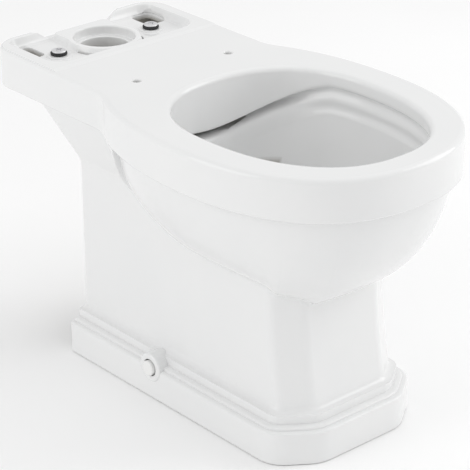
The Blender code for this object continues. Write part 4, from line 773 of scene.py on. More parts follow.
@dataclass
class PanSkin(PanFrame):
    """Sizes and outer surface of the china: plinth, pedestal, bowl, band, neck and platform."""

    front: float = -0.335
    shelf_half: float = 0.140
    shelf_corner: float = 0.036
    shelf_edge: float = 0.0030
    waist_reach: float = 0.016
    bowl_y: float = -0.105
    bowl_half: float = 0.1849
    bowl_rear: float = 0.280
    front_power: float = 2.3
    rear_power: float = 2.2
    rim_edge: float = 0.0075
    band_foot: float = 0.361
    band_edge: float = 0.0042
    overhang: float = 0.014
    pedestal_half: float = 0.097
    pedestal_rear: float = 0.200
    pedestal_front: float = -0.206
    flare_power: float = 1.7
    side_leg: float = 0.026
    front_leg: float = 0.036
    pedestal_corner: float = 0.008
    rear_corner: float = 0.004
    neck_half: float = 0.132
    neck_rear: float = 0.239
    crease_waist: float = 0.287
    crease_side: float = 0.232
    crease_run: float = 0.150
    crease_fillet: float = 0.008
    fillet_end: float = 13.0
    bowl_bulge: float = 1.6
    neck_bulge: float = 1.0
    plinth_out: float = 0.026
    plinth_foot: float = 0.0015
    block_top: float = 0.0425
    first_ledge: float = 0.0195
    first_top: float = 0.0456
    first_riser: float = 0.0020
    second_ledge: float = 0.0112
    second_top: float = 0.0504
    band_top: float = 0.0615
    plinth_top: float = 0.0725
    platform_depth: float = 0.137
    platform_ramp: float = 0.008
    platform_foot: float = 1.5
    platform_inset: float = 0.003
    platform_edge: float = 0.0015
    rear_steps: int = 4
    corner_steps: int = 12
    side_steps: int = 8
    waist_steps: int = 12
    bowl_steps: int = 36
    turn_steps: int = 8
    chamfer_steps: int = 6
    front_steps: int = 18

    def __post_init__(self) -> None:
        """Works out where the waist leaves the platform and meets the oval."""
        self.front_reach = self.bowl_y - self.front
        self.waist_y = self.bowl_y + self.bowl_rear * self._share(self.shelf_half / self.bowl_half)
        end_y = self.waist_y - self.waist_reach
        self.waist_end = (self.bowl_half * self._share((end_y - self.bowl_y) / self.bowl_rear), end_y)
        self.waist_angle = math.atan2(end_y - self.bowl_y, self.waist_end[0])

    def _share(self, share: float) -> float:
        """The other coordinate's share on the rear half of the oval."""
        return (1 - share ** self.rear_power) ** (1 / self.rear_power)

    def bowl_point(self, angle: float) -> Point:
        """A point of the rim's oval."""
        r = oval_radius(angle, self.bowl_half, self.front_reach, self.bowl_rear, self.front_power, self.rear_power)
        return r * math.cos(angle), self.bowl_y + r * math.sin(angle)

    def oval_run(self, start: float, end: float, count: int) -> Plan:
        """Points of the rim's oval between two angles, without the last."""
        return [self.bowl_point(start + (end - start) * i / count) for i in range(count)]

    def oval_front(self) -> Plan:
        """The half oval from the waist to the middle of the front, in the pedestal's own steps."""
        a, b, c, d = (math.radians(x) for x in (-38, -46, -58, -65))
        points = self.oval_run(self.waist_angle, a, self.bowl_steps) + self.oval_run(a, b, self.turn_steps)
        points += self.oval_run(b, c, self.chamfer_steps) + self.oval_run(c, d, self.turn_steps)
        return points + self.oval_run(d, -QUARTER, self.front_steps) + [(0.0, self.front)]

    def shelf_run(self, half: float, rear: float, corner: float, end: Point) -> Plan:
        """Half outline of the platform or neck.

        Args:
            half: Half width.
            rear: Y of the rear edge.
            corner: Radius of the rear corner.
            end: Where the waist meets the oval.

        Returns:
            Points from the middle of the rear edge to the end of the waist, without it.
        """
        edge, side = (half - corner, rear), (half, rear - corner)
        start = (half, self.waist_y + self.waist_reach)
        points = steps_between((0, rear), edge, self.rear_steps)
        points += quarter(edge, (half, rear), side, self.corner_steps)
        points += steps_between(side, start, self.side_steps)
        return points + bend(start, (half, self.waist_y), end, self.waist_steps)

    def top_outline(self) -> Plan:
        """Half outline of the platform and the rim."""
        return self.shelf_run(self.shelf_half, self.rear, self.shelf_corner, self.waist_end) + self.oval_front()

    def under_outline(self) -> Plan:
        """Half outline of the neck and of the bowl just under the band."""
        oval = self.oval_front()
        inner = moved_out(oval, [-self.overhang] * len(oval))
        return self.shelf_run(self.neck_half, self.neck_rear, self.rear_corner, inner[0]) + inner

    def pedestal_outline(self, height: float) -> Plan:
        """Half outline of the pedestal at a height; its front flares out towards the plinth.

        Args:
            height: The height.

        Returns:
            Its points, as many as the top outline has.
        """
        rise = (height - self.plinth_top) / (self.crease_front - self.plinth_top)
        front = self.pedestal_front - self.flare * max(0.0, 1 - rise) ** self.flare_power
        half, rear, corner = self.pedestal_half, self.pedestal_rear, self.rear_corner
        first, second = (half, front + self.side_leg), (half - self.front_leg, front)
        waist_top, waist_foot = (half, self.waist_y + self.waist_reach), (half, self.waist_end[1])
        side = (half, rear - corner)
        points = steps_between((0, rear), (half - corner, rear), self.rear_steps)
        points += quarter((half - corner, rear), (half, rear), side, self.corner_steps)
        points += steps_between(side, waist_top, self.side_steps)
        points += steps_between(waist_top, waist_foot, self.waist_steps)
        one, one_end = round_corner(waist_foot, first, second, self.pedestal_corner, self.turn_steps)
        two, two_end = round_corner(first, second, (0, front), self.pedestal_corner, self.turn_steps)
        points += steps_between(waist_foot, one[0], self.bowl_steps) + one
        points += steps_between(one_end, two[0], self.chamfer_steps) + two
        return points + steps_between(two_end, (0, front), self.front_steps) + [(0.0, front)]

    def stations(self) -> list[tuple[float, float, float, float]]:
        """Crease height, bulge power, band foot and edge rounding at each point of a half outline.

        Returns:
            The four values of each point.
        """
        shelf = self.rear_steps + self.corner_steps
        before = shelf + self.side_steps + self.waist_steps + self.bowl_steps
        corner = 2 * self.turn_steps + self.chamfer_steps
        outline = self.pedestal_outline(self.crease_side)
        rows = []
        for i, (_, y) in enumerate(outline):
            turn = eased(held((i - shelf - self.side_steps) / self.waist_steps))
            drop = held((self.waist_y - y) / self.crease_run)
            crease = self.crease_side + (self.crease_waist - self.crease_side) * (1 - drop) ** 2
            crease = self.neck_foot + (crease - self.neck_foot) * turn
            crease += (self.crease_front - self.crease_side) * held((i - before) / corner)
            power = self.neck_bulge + (self.bowl_bulge - self.neck_bulge) * turn
            foot = self.shelf_under + (self.band_foot - self.shelf_under) * turn
            along = held((i - shelf) / (self.side_steps + self.waist_steps))
            rows.append((crease, power, foot, self.shelf_edge + (self.rim_edge - self.shelf_edge) * along))
        return rows

    def plinth_rows(self) -> Plan:
        """Rows of the plinth: distance out from the pedestal, and height.

        Returns:
            The rows, from the floor up.
        """
        out, foot = self.plinth_out, self.plinth_foot
        rows = [(out - foot, 0.0), (out - foot * 0.3, foot * 0.3), (out, foot)]
        rows += [(out, foot + (self.block_top - foot) * i / 4) for i in (1, 2, 3)]
        rows += quarter((out, self.block_top), (out, self.first_top), (self.first_ledge, self.first_top), 7)
        riser = self.first_top + self.first_riser
        rows += steps_between((self.first_ledge, self.first_top), (self.first_ledge, riser), 2)
        rows += quarter((self.first_ledge, riser), (self.first_ledge, self.second_top),
                        (self.second_ledge, self.second_top), 7)
        rows += steps_between((self.second_ledge, self.second_top), (self.second_ledge, self.band_top), 4)
        rows += quarter((self.second_ledge, self.band_top), (0, self.band_top), (0, self.plinth_top), 9)
        return rows

    def rings(self) -> list[Ring]:
        """Rings of the whole outer skin, from the floor to the flat deck.

        Returns:
            The rings, all with equally many points.
        """
        table = self.stations()
        steps = range(len(table))
        foot = self.pedestal_outline(self.plinth_top)
        share = (self.plinth_rear - self.pedestal_rear) / self.plinth_out
        rings = []
        for out, height in self.plinth_rows():
            outline = moved_out(foot, [out] * len(foot))
            rear = self.pedestal_rear
            rings.append([(x, min(y, rear + (y - rear) * share), height) for x, y in outline])
        rings.append(raised(foot, self.plinth_top))
        creases = [row[0] for row in table]
        low = [z - self.crease_fillet for z in creases]
        for k in range(1, 9):
            heights = [self.plinth_top + (z - self.plinth_top) * k / 8 for z in low]
            rings.append([(*self.pedestal_outline(z)[i], z) for i, z in enumerate(heights)])
        pedestal = [self.pedestal_outline(z)[i] for i, z in enumerate(creases)]
        under = self.under_outline()

        def bulge(i: int, angle: float) -> Vector:
            """A point of the bowl's or neck's side; the angle runs from the crease to the band."""
            crease, power, top, _ = table[i]
            out, down = math.sin(angle) ** (2 / power), math.cos(angle) ** (2 / power)
            point = Vector(pedestal[i]).lerp(Vector(under[i]), out)
            return Vector((*point, top - (top - crease) * down))

        start = math.radians(self.fillet_end)
        base = rings[-1]
        for k in range(1, 7):
            t = k / 7
            ring = []
            for i in steps:
                corner = Vector((*pedestal[i], creases[i]))
                ring.append(tuple(Vector(base[i]).lerp(corner, t).lerp(corner.lerp(bulge(i, start), t), t)))
            rings.append(ring)
        for k in range(19):
            rings.append([tuple(bulge(i, start + (QUARTER - start) * k / 18)) for i in steps])
        top = self.top_outline()
        for t in quarter_trip(4):
            outline = moved_out(top, [self.band_edge * (math.sin(t) - 1)] * len(top))
            rings.append([(*outline[i], table[i][2] + self.band_edge * (1 - math.cos(t))) for i in steps])
        for t in quarter_trip(8):
            outline = moved_out(top, [table[i][3] * (math.cos(t) - 1) for i in steps])
            rings.append([(*outline[i], self.deck + table[i][3] * (math.sin(t) - 1)) for i in steps])
        return [full_ring(ring) for ring in rings]

    def platform_rings(self) -> list[Ring]:
        """Rings of the raised cistern seat, with its soft front ramp.

        Returns:
            The rings, from the deck up.
        """
        front, inset, edge = self.rear - self.platform_depth, self.platform_inset, self.platform_edge
        rows = [(inset, self.deck - inset, self.platform_ramp * self.platform_foot)]
        for k in range(7):
            t = k / 6
            side = inset + edge * max(0.0, (t - 0.5) * 2) ** 2
            rows.append((side, self.deck + (self.height - self.deck) * eased(t), self.platform_ramp * (1 - t)))
        rings = []
        for inside, height, forward in rows:
            half, rear, corner = self.shelf_half - inside, self.rear - inside, self.shelf_corner - inside
            points = rounded((0.0, rear), (half, rear, corner, self.corner_steps), (half, front - forward),
                             (0.0, front - forward))
            rings.append(full_ring(raised(points, height)))
        return rings


def falling_value(places: Sequence[float], values: Sequence[float], place: float) -> float:
    """A value on the smooth curve through named places.

    Args:
        places: The places, each lower than the one before.
        values: The value at each.
        place: Where the value is wanted.

    Returns:
        The value.
    """
    last = len(places) - 1
    slopes = []
    for i in range(last + 1):
        a, b = max(0, i - 1), min(last, i + 1)
        slopes.append((values[b] - values[a]) / (places[b] - places[a]))
    for i in range(last):
        if places[i] >= place >= places[i + 1]:
            run = places[i + 1] - places[i]
            t = (place - places[i]) / run
            low = (1 + 2 * t) * (1 - t) ** 2 * values[i] + t * (1 - t) ** 2 * run * slopes[i]
            return low + eased(t) * values[i + 1] + t * t * (t - 1) * run * slopes[i + 1]
    return values[-1]


@dataclass
class PanBasin(PanFrame):
    """Sizes and tools of the wet side: opening, rimless wall, basin, sump and trapway."""

    centre_y: float = -0.1065
    half: float = 0.136
    front_reach: float = 0.190
    rear_reach: float = 0.1435
    power: float = 2.35
    edge: float = 0.0075
    splash: float = 0.021
    apron_drop: float = 0.071
    apron_half: float = 0.128
    apron_blend: float = 1.5
    side_rows: Plan = field(default_factory=lambda: [
        (0.0, -0.006), (0.0, -0.0035), (0.0006, -0.0014), (0.0020, 0.0004), (0.0038, 0.0018), (0.0055, 0.0036),
        (0.0064, 0.0060), (0.0062, 0.0086), (0.0050, 0.0112), (0.0034, 0.0138), (0.0022, 0.0168), (0.0020, 0.0200),
        (0.0028, 0.0232), (0.0036, 0.0264), (0.0034, 0.0296), (0.0020, 0.0330), (0.0, 0.0365)])
    apron_rows: Plan = field(default_factory=lambda: [
        (0.0, -0.006), (0.0, -0.0030), (0.0008, -0.0010), (0.0024, 0.0), (0.0080, 0.0004), (0.0160, 0.0010),
        (0.0235, 0.0020), (0.0250, 0.0035), (0.0250, 0.0060), (0.0240, 0.0078), (0.0200, 0.0090), (0.0140, 0.0100),
        (0.0090, 0.0114), (0.0055, 0.0135), (0.0030, 0.0170), (0.0012, 0.0230), (0.0, 0.0365)])
    wall: float = 0.011
    levels: tuple[tuple[float, float, float, float], ...] = (
        (0.330, 0.137, 0.037, -0.295),
        (0.262, 0.108, 0.033, -0.257),
        (0.205, 0.062, 0.021, -0.185),
        (0.150, 0.047, 0.001, -0.127),
        (0.098, 0.026, -0.017, -0.081),
    )
    floor_draw: float = 0.5
    floor_drop: float = 0.012
    fall_gap: float = 0.008
    fall_steps: int = 12
    fall_ease: float = 0.35
    outlet_height: float = 0.180
    outlet_end: float = 0.255
    outlet_radius: float = 0.051
    outlet_bore: float = 0.042
    outlet_length: float = 0.066
    outlet_run: float = 0.018
    outlet_round: float = 0.002
    trap_bore: float = 0.028
    trap_slack: float = 0.002
    trap_entry: tuple[float, float] = (-0.041, 0.122)
    trap_rise: float = math.radians(48)
    trap_fall: float = math.radians(35)
    trap_bends: tuple[float, float, float] = (0.050, 0.048, 0.050)
    around: int = 192
    tube_around: int = 40

    def opening_point(self, angle: float, out: float) -> Point:
        """A point of the opening, moved out from its edge."""
        r = oval_radius(angle, self.half, self.front_reach, self.rear_reach, self.power, self.power) + out
        return r * math.cos(angle), self.centre_y + r * math.sin(angle)

    def splash_depth(self, angle: float) -> float:
        """Depth of the splash wall: shallow at the sides, a deep apron at the rear.

        Args:
            angle: Direction from the opening's centre.

        Returns:
            The depth.
        """
        if angle <= 0:
            return self.splash
        x = self.opening_point(angle, 0)[0]
        share = max(0.0, 1 - (x / self.apron_half) ** 2)
        return self.splash + (self.apron_drop - self.splash) * share

    def apron_share(self, angle: float) -> float:
        """How far the wall at an angle is apron: 0 at the sides and front, 1 along the rear."""
        share = (self.splash_depth(angle) - self.splash) / (self.apron_drop - self.splash)
        return eased(min(1.0, share * self.apron_blend))

    def level_at(self, height: float) -> list[float]:
        """Half width, rear and front of the basin at a height."""
        places = [level[0] for level in self.levels]
        return [falling_value(places, [level[k] for level in self.levels], height) for k in (1, 2, 3)]

    def basin_rings(self, wall: float, steps: int) -> list[Ring]:
        """Rings of the basin below the splash wall.

        Args:
            wall: How far the rings are moved out.
            steps: Rings for each named level.

        Returns:
            The rings, from the top down to the sump's floor.
        """
        places, heights = [level[0] for level in self.levels], []
        for upper, lower in zip(places, places[1:]):
            heights += [upper + (lower - upper) * i / steps for i in range(steps)]
        rings = []
        for height in heights + [places[-1]]:
            half, rear, front = self.level_at(height)
            centre, reach = (rear + front) / 2, (rear - front) / 2
            ring = []
            for angle in round_trip(self.around):
                r = oval_radius(angle, half + wall, reach + wall, reach + wall, self.power, self.power)
                ring.append((r * math.cos(angle), centre + r * math.sin(angle), height))
            rings.append(ring)
        last = rings.pop()
        middle = Vector((0, sum(p[1] for p in last) / len(last), last[0][2]))
        for t in quarter_trip(7):
            shrink, drop = 1 - self.floor_draw * (1 - math.cos(t)), wall + self.floor_drop * math.sin(t)
            rings.append([tuple(middle + (Vector(p) - middle) * shrink - Vector((0, 0, drop))) for p in last])
        return rings

    def cavity(self) -> Piece:
        """The wet space of the bowl: its rounded edge, the rimless wall, the fall to the basin and the sump.

        Returns:
            The closed space, from above the deck to the sump's floor.
        """
        angles, edge = [a if a <= math.pi else a - 2 * math.pi for a in round_trip(self.around)], self.edge
        rings = [[(*self.opening_point(a, edge), self.height + self.overrun) for a in angles]]
        for t in quarter_trip(8):
            out = edge * (1 - math.sin(t))
            rings.append([(*self.opening_point(a, out), self.deck - edge * (1 - math.cos(t))) for a in angles])
        for side, rear in zip(self.side_rows, self.apron_rows):
            ring = []
            for a in angles:
                t = self.apron_share(a)
                out, down = (p + (q - p) * t for p, q in zip(side, rear))
                ring.append((*self.opening_point(a, out), self.deck - self.splash_depth(a) - down))
            rings.append(ring)
        basin = self.basin_rings(0, 8)
        upper = rings[-1]
        top = min(p[2] for p in upper)
        lower = [ring for ring in basin if ring[0][2] < top - self.fall_gap]
        for k in range(1, self.fall_steps):
            t, ring = k / self.fall_steps, []
            for high, low, below in zip(upper, lower[0], lower[1]):
                start, end = Vector(high), Vector(low)
                run = (end - start).length
                leave = Vector((0, 0, -run))
                arrive = (Vector(below) - end).normalized() * run
                point = start * ((1 + 2 * t) * (1 - t) ** 2) + leave * (t * (1 - t) ** 2 * self.fall_ease)
                point += end * eased(t) + arrive * (t * t * (t - 1))
                ring.append(tuple(point))
            rings.append(ring)
        return lay_skin("bowl_space", rings + lower)

    def shell(self) -> Piece:
        """The outside of the basin, which the skin hides from the front."""
        return lay_skin("basin_shell", self.basin_rings(self.wall, 4))

    def wets(self, point: Vector) -> bool:
        """Whether a point of the casting lies on its wet side.

        Args:
            point: The point.

        Returns:
            True where it is nearer than about half a wall to the water's space.
        """
        near = self.wall / 2
        if self.levels[-1][0] - 3 * near < point.z:
            half, rear, front = self.level_at(point.z)
            reach, middle = (rear - front) / 2 + near, (rear + front) / 2
            if (abs(point.x) / (half + near)) ** 2 + (abs(point.y - middle) / reach) ** 2 < 1:
                return True
        gap = min(math.hypot(point.y - y, point.z - z) for y, z, _ in self.trap_line())
        return math.hypot(gap, point.x) < self.trap_bore + near + self.trap_slack

    def trap_line(self) -> list[tuple[float, float, float]]:
        """Centre line of the trapway in the plane X = 0: up, over its crown and down to the outlet.

        Returns:
            Y, Z and heading of each point.
        """
        rise, fall = self.trap_rise, self.trap_fall
        foot, crown, last = self.trap_bends
        run = self.outlet_end - self.outlet_length - self.trap_entry[0]
        run -= (foot + crown) * math.sin(rise) + (crown + last) * math.sin(fall)
        lift = self.outlet_height - self.trap_entry[1]
        lift -= (foot + crown) * (1 - math.cos(rise)) - (crown + last) * (1 - math.cos(fall))
        up = (run * math.sin(fall) + lift * math.cos(fall)) / math.sin(rise + fall)
        down = (run * math.sin(rise) - lift * math.cos(rise)) / math.sin(rise + fall)
        line = []
        at = Vector(self.trap_entry)
        parts = [(foot, 0, rise, 10, up), (crown, rise, -fall, 16, down), (last, -fall, 0, 8, 0)]
        for radius, start, end, count, straight in parts:
            turn = 1 if end > start else -1
            centre = at + Vector((-math.sin(start), math.cos(start))) * radius * turn
            for i in range(count + 1):
                a = start + (end - start) * i / count
                point = centre - Vector((-math.sin(a), math.cos(a))) * radius * turn
                line.append((point.x, point.y, a))
            at = point + Vector((math.cos(end), math.sin(end))) * straight
        return line

    def trap(self, wall: float, spigot: float, end: float, round_end: float) -> Piece:
        """A tube along the trapway that widens into the straight outlet.

        Args:
            wall: Wall round the bore; zero for the bore itself.
            spigot: Radius of the straight outlet.
            end: Y where the tube ends.
            round_end: Rounding of its end.

        Returns:
            The closed tube.
        """
        stations = [(*point, self.trap_bore + wall) for point in self.trap_line()]
        start = self.outlet_end - self.outlet_length
        for t in (k / 8 for k in range(1, 9)):
            radius = self.trap_bore + wall + (spigot - self.trap_bore - wall) * eased(t)
            stations.append((start + self.outlet_run * t, self.outlet_height, 0, radius))
        for t in quarter_trip(4):
            radius = spigot - round_end * (1 - math.cos(t))
            stations.append((end - round_end * (1 - math.sin(t)), self.outlet_height, 0, radius))
        rings = []
        for y, z, heading, radius in stations:
            ring = []
            for a in round_trip(self.tube_around):
                across, rise = radius * math.cos(a), radius * math.sin(a)
                ring.append((across, y - rise * math.sin(heading), z + rise * math.cos(heading)))
            rings.append(ring)
        return lay_skin("trap", rings)


@dataclass
class PanHollows(PanFrame):
    """Sizes and tools of the dry side: the space in the pedestal, the tray under the platform and the flush way."""

    wall: float = 0.012
    foot_half: float = 0.110
    foot_front: float = -0.235
    foot_height: float = 0.030
    narrow_height: float = 0.066
    half: float = 0.085
    front: float = -0.194
    top: float = 0.290
    corner: float = 0.028
    tray_front: float = 0.058
    tray_half: float = 0.128
    neck_half: float = 0.116
    soft: float = 0.008
    inlet_radius: float = 0.042
    inlet_round: float = 0.0030
    inlet_step: float = 0.402
    inlet_neck: float = 0.034
    inlet_wall: float = 0.056
    duct_half: float = 0.037
    duct_wall: float = 0.009
    duct_floor: float = 0.352
    duct_roof: float = 0.386
    chamber_half: float = 0.062
    chamber_floor: float = 0.338
    chamber_front: float = 0.044
    chamber_rear: float = 0.073

    def holds(self, point: Vector) -> bool:
        """Whether a point of the casting lies on the walls of the dry hollows.

        Args:
            point: The point.

        Returns:
            True where it lies in the pedestal's space or the tray, grown by a hair.
        """
        across, z, grow = abs(point.x), point.z, MARK_GAP
        heights = (self.foot_height, self.narrow_height, self.crease_front, self.top)
        wide = float(np.interp(z, heights, (self.foot_half, self.half, self.half, self.half)))
        face = float(np.interp(z, heights, (self.foot_front, self.front - self.flare, self.front, self.front)))
        corner = self.corner + wide - self.half
        chamfered = across - (wide - corner) + (face + corner - point.y) < corner + grow
        post = across < wide + grow and face - grow < point.y and z < self.top + grow and chamfered
        heights = (self.neck_foot, self.shelf_under - self.soft, self.shelf_under + self.soft, self.tray_roof)
        wide = float(np.interp(z, heights, (self.half, self.neck_half, self.tray_half, self.tray_half)))
        tray = across < wide + grow and self.tray_front - grow < point.y
        tray = tray and self.neck_foot - self.wall - grow < z < self.tray_roof + grow
        return post and point.y < self.plinth_rear - grow or tray and point.y < self.rear - self.wall + grow

    def pedestal(self) -> Piece:
        """The space inside the pedestal, open to the floor and to the rear.

        Returns:
            The closed space.
        """
        rows = [(-self.overrun, self.foot_half, self.foot_front), (self.foot_height, self.foot_half, self.foot_front)]
        rows += [(self.narrow_height, self.half, self.front - self.flare), (self.crease_front, self.half, self.front)]
        rows += [(self.top, self.half, self.front)]
        rear, rings = self.plinth_rear + self.overrun, []
        for height, wide, face in rows:
            corner = self.corner + (wide - self.half)
            points = [(0, rear), (wide, rear), (wide, face + corner), (wide - corner, face), (0, face)]
            rings.append(full_ring(raised(points, height)))
        return lay_skin("pedestal_space", rings)

    def tray(self) -> Piece:
        """The space under the platform, between its skirts and down the neck.

        Returns:
            The closed space.
        """
        rows = [(self.neck_foot - self.wall, self.half), (self.neck_foot, self.half)]
        rows += [(self.shelf_under - self.soft, self.neck_half), (self.shelf_under + self.soft, self.tray_half)]
        rear, front, r, rings = self.rear - self.wall, self.tray_front, self.soft, []
        for height, wide in rows + [(self.tray_roof, self.tray_half)]:
            points = rounded((0, rear), (wide, rear, r, 6), (wide, front, r, 6), (0, front))
            rings.append(full_ring(raised(points, height)))
        return lay_skin("tray_space", rings)

    def duct(self, wall: float) -> Piece:
        """The flush way from the inlet to the chamber behind the apron.

        Args:
            wall: Wall round the way; zero for the way itself.

        Returns:
            The closed duct.
        """
        rear = self.rear - 2 * self.wall if wall else self.inlet_y
        way, chamber = (self.duct_half, self.duct_floor), (self.chamber_half, self.chamber_floor)
        rows = [(rear, *way), (self.chamber_rear + self.chamber_half, *way)]
        rows += [(self.chamber_rear, *chamber), (self.chamber_front - wall, *chamber)]
        roof = self.tray_roof + self.soft / 2 if wall else self.duct_roof
        rings = []
        for y, half, floor in rows:
            wide, low, edge = half + wall, floor - wall, self.soft
            points = rounded((wide, roof), (wide, low, edge, 5), (-wide, low, edge, 5), (-wide, roof))
            rings.append([(x, y, z) for x, z in points])
        return lay_skin("flush_way", rings)

    def inlet_shell(self) -> Piece:
        """The round wall under the platform that carries the flush inlet."""
        low, r, top = self.duct_floor - self.duct_wall, self.inlet_wall, self.tray_roof + self.soft / 2
        profile = rounded((0.0, low), (r, low, self.soft, 6), (r, top), (0.0, top))
        return place(turn_tool("inlet_shell", profile, 96), Matrix.Translation((0, self.inlet_y, 0)))

    def inlet(self) -> Piece:
        """The flush inlet: rounded lip, seat for the sleeve, step and narrower neck.

        Returns:
            The closed space.
        """
        r, edge, step, neck = self.inlet_radius, self.inlet_round, self.inlet_step, self.inlet_neck
        low, top, high = self.duct_floor, self.inlet_top, self.height + self.overrun
        profile = rounded((0.0, low), (neck, low), (neck, step, edge / 2, 5), (r, step, edge / 2, 5),
                          (r, top, edge, 8), (r + edge, top), (r + edge, high), (0.0, high))
        return place(turn_tool("inlet_space", profile, 128), Matrix.Translation((0, self.inlet_y, 0)))


@dataclass
class PanPockets(PanFrame):
    """Sizes and tools of the platform's pocket, the inlet's seat in it, and the holes for bolts, hinges and fixings."""

    depth: float = 0.0135
    edge: float = 0.0014
    fillet: float = 0.0030
    outer: float = 0.121
    pocket_rear: float = 0.326
    pocket_front: float = 0.210
    rear_corner: float = 0.016
    front_corner: float = 0.028
    side_slope: float = 0.004
    rear_slope: float = 0.007
    front_slope: float = 0.016
    wall_shares: tuple[Point, ...] = ((0, 0), (0.25, 0.16), (0.60, 0.42), (0.84, 0.69), (0.96, 0.92), (1, 1.2))
    seat_radius: float = 0.050
    seat_half: float = 0.045
    seat_rear: float = 0.3215
    seat_corner: float = 0.008
    seat_edge: float = 0.0020
    seat_draft: float = 0.0015
    gap_rear: tuple[float, float] = (0.078, 0.058)
    gap_front: tuple[float, float] = (0.060, 0.046)
    gap_run: float = 0.018
    oval_x: float = 0.1037
    oval_y: float = 0.2985
    oval_width: float = 0.0315
    oval_length: float = 0.042
    oval_corner: float = 0.009
    crescent_inner: float = 0.0518
    crescent_outer: float = 0.0548
    crescent_depth: float = 0.027
    crescent_start: float = math.radians(-46)
    crescent_end: float = math.radians(-10)
    bolt_x: float = 0.079
    bolt_y: float = 0.262
    pad_radius: float = 0.0165
    pad_rise: float = 0.002
    bolt_hole: float = 0.005
    hinge_x: float = 0.0775
    hinge_y: float = 0.098
    hinge_hole: float = 0.0055
    hinge_round: float = 0.0032
    fixing_x: float = 0.123
    fixing_y: float = 0.027
    fixing_height: float = 0.045
    fixing_hole: float = 0.0120
    fixing_lip: float = 0.0008
    fixing_depth: float = 0.038
    boss_radius: float = 0.020
    boss_proud: float = 0.0015
    boss_round: float = 0.0024
    boss_depth: float = 0.023

    @property
    def floor(self) -> float:
        """Height of the pocket's floor."""
        return self.height - self.depth

    def pocket(self) -> Piece:
        """The sunken area, its top edge soft and its sloping walls running into its floor.

        Returns:
            The closed tool.
        """
        places = [-self.depth * down for down, _ in self.wall_shares]
        insets = [inset for _, inset in self.wall_shares]
        rows = [(self.overrun, self.edge)]
        rows += [(-self.edge * (1 - math.cos(t)), self.edge * (1 - math.sin(t))) for t in quarter_trip(5)]
        rows += [(-self.edge - (self.depth - self.edge) * k / 24, 0.0) for k in range(1, 25)]
        rings = []
        for drop, out in rows:
            share = falling_value(places, insets, min(0.0, drop)) if drop < 0 else 0.0
            wide = self.outer - self.side_slope * share + out
            rear = self.pocket_rear - self.rear_slope * share + out
            front = self.pocket_front + self.front_slope * share - out
            points = rounded((0.0, rear), (wide, rear, self.rear_corner, 14), (wide, front, self.front_corner, 18),
                             (0.0, front))
            rings.append(full_ring(raised(points, self.height + drop)))
        return lay_skin("pocket", rings)

    def seat_plan(self, out: float) -> Plan:
        """Half plan of the inlet's seat, a disc that runs on to the rear.

        Args:
            out: How far the plan is moved out.

        Returns:
            Points from the middle of the rear to the middle of the front.
        """
        radius, half, rear = self.seat_radius + out, self.seat_half + out, self.seat_rear + out
        start, corner = math.acos(half / radius), self.seat_corner
        points = [(0.0, rear)] + quarter((half - corner, rear), (half, rear), (half, rear - corner), 10)
        points += [(half, rear - corner)]
        turn = [start - (start + QUARTER) * i / 60 for i in range(60)]
        points += [(radius * math.cos(a), self.inlet_y + radius * math.sin(a)) for a in turn]
        return points + [(0.0, self.inlet_y - radius)]

    def seat(self) -> Piece:
        """The seat round the flush inlet, which the pocket leaves standing.

        Returns:
            The closed form.
        """
        foot, top, e, f = self.seat_draft, self.inlet_top, self.seat_edge, self.fillet
        turn, rows = quarter_trip(5), [(foot + f, self.floor - self.overrun / 2)]
        rows += [(foot + f * (1 - math.sin(t)), self.floor + f * (1 - math.cos(t))) for t in turn]
        rows += [(-e * (1 - math.cos(t)), top - e * (1 - math.sin(t))) for t in turn]
        return lay_skin("inlet_seat", [full_ring(raised(self.seat_plan(out), height)) for out, height in rows])

    def gap(self) -> Piece:
        """The gap behind the seat that opens the pocket to the rear; it narrows forwards and its ends slope.

        Returns:
            The closed tool.
        """
        rings = []
        for back in (self.gap_run + self.overrun, self.gap_run, 0.0):
            share = back / self.gap_run
            half, foot = (a + (b - a) * share for a, b in zip(self.gap_front, self.gap_rear))
            low, high = Vector((foot, self.floor)), Vector((half, self.height))
            way = (high - low).normalized()
            points = bend((foot - self.fillet, self.floor), low, low + way * self.fillet, 6)
            points += [tuple(low + way * self.fillet)]
            points += bend(high - way * self.edge * 2, high, (half + self.edge * 2, self.height), 6)
            points += [(half + self.edge * 2, self.height), (half + self.edge * 2, self.height + self.overrun)]
            outline = points + [(-x, z) for x, z in reversed(points)]
            rings.append([(x, self.rear - self.gap_run + back, z) for x, z in outline])
        return lay_skin("rear_gap", rings)

    def pad_plan(self, out: float) -> Plan:
        """Plan of a bolt's round pad."""
        reach = self.pad_radius + out
        return [(self.bolt_x + reach * math.cos(a), self.bolt_y + reach * math.sin(a)) for a in round_trip(48)]

    def oval_plan(self, out: float) -> Plan:
        """Plan of the long rounded hole beside a bolt.

        Args:
            out: How far the plan is moved out.

        Returns:
            Its points, all round.
        """
        corner, points = self.oval_corner + out, []
        across, along = self.oval_width / 2 - self.oval_corner, self.oval_length / 2 - self.oval_corner
        for turn, (way_x, way_y) in enumerate(((1, 1), (-1, 1), (-1, -1), (1, -1))):
            for i in range(15):
                a = QUARTER * (turn + i / 14)
                points.append((self.oval_x + across * way_x + corner * math.cos(a),
                               self.oval_y + along * way_y + corner * math.sin(a)))
        return points

    def pad(self, side: Side) -> Piece:
        """The pad that carries a bolt's washer, standing on the pocket's floor.

        Args:
            side: Its side.

        Returns:
            The closed form.
        """
        top, low, e = self.floor + self.pad_rise, self.floor - self.overrun / 2, self.pad_rise / 2
        rows = [(e, low), (e, self.floor)]
        rows += [(e * (1 - math.sin(t)), self.floor + e * (1 - math.cos(t))) for t in (0.5, 1.0, QUARTER)]
        rows += [(-e * (1 - math.cos(t)), top - e * (1 - math.sin(t))) for t in (0.4, 0.8, 1.2, QUARTER)]
        rings = [raised(self.pad_plan(out), height) for out, height in rows]
        return place(lay_skin("bolt_pad", rings), side.mirror)

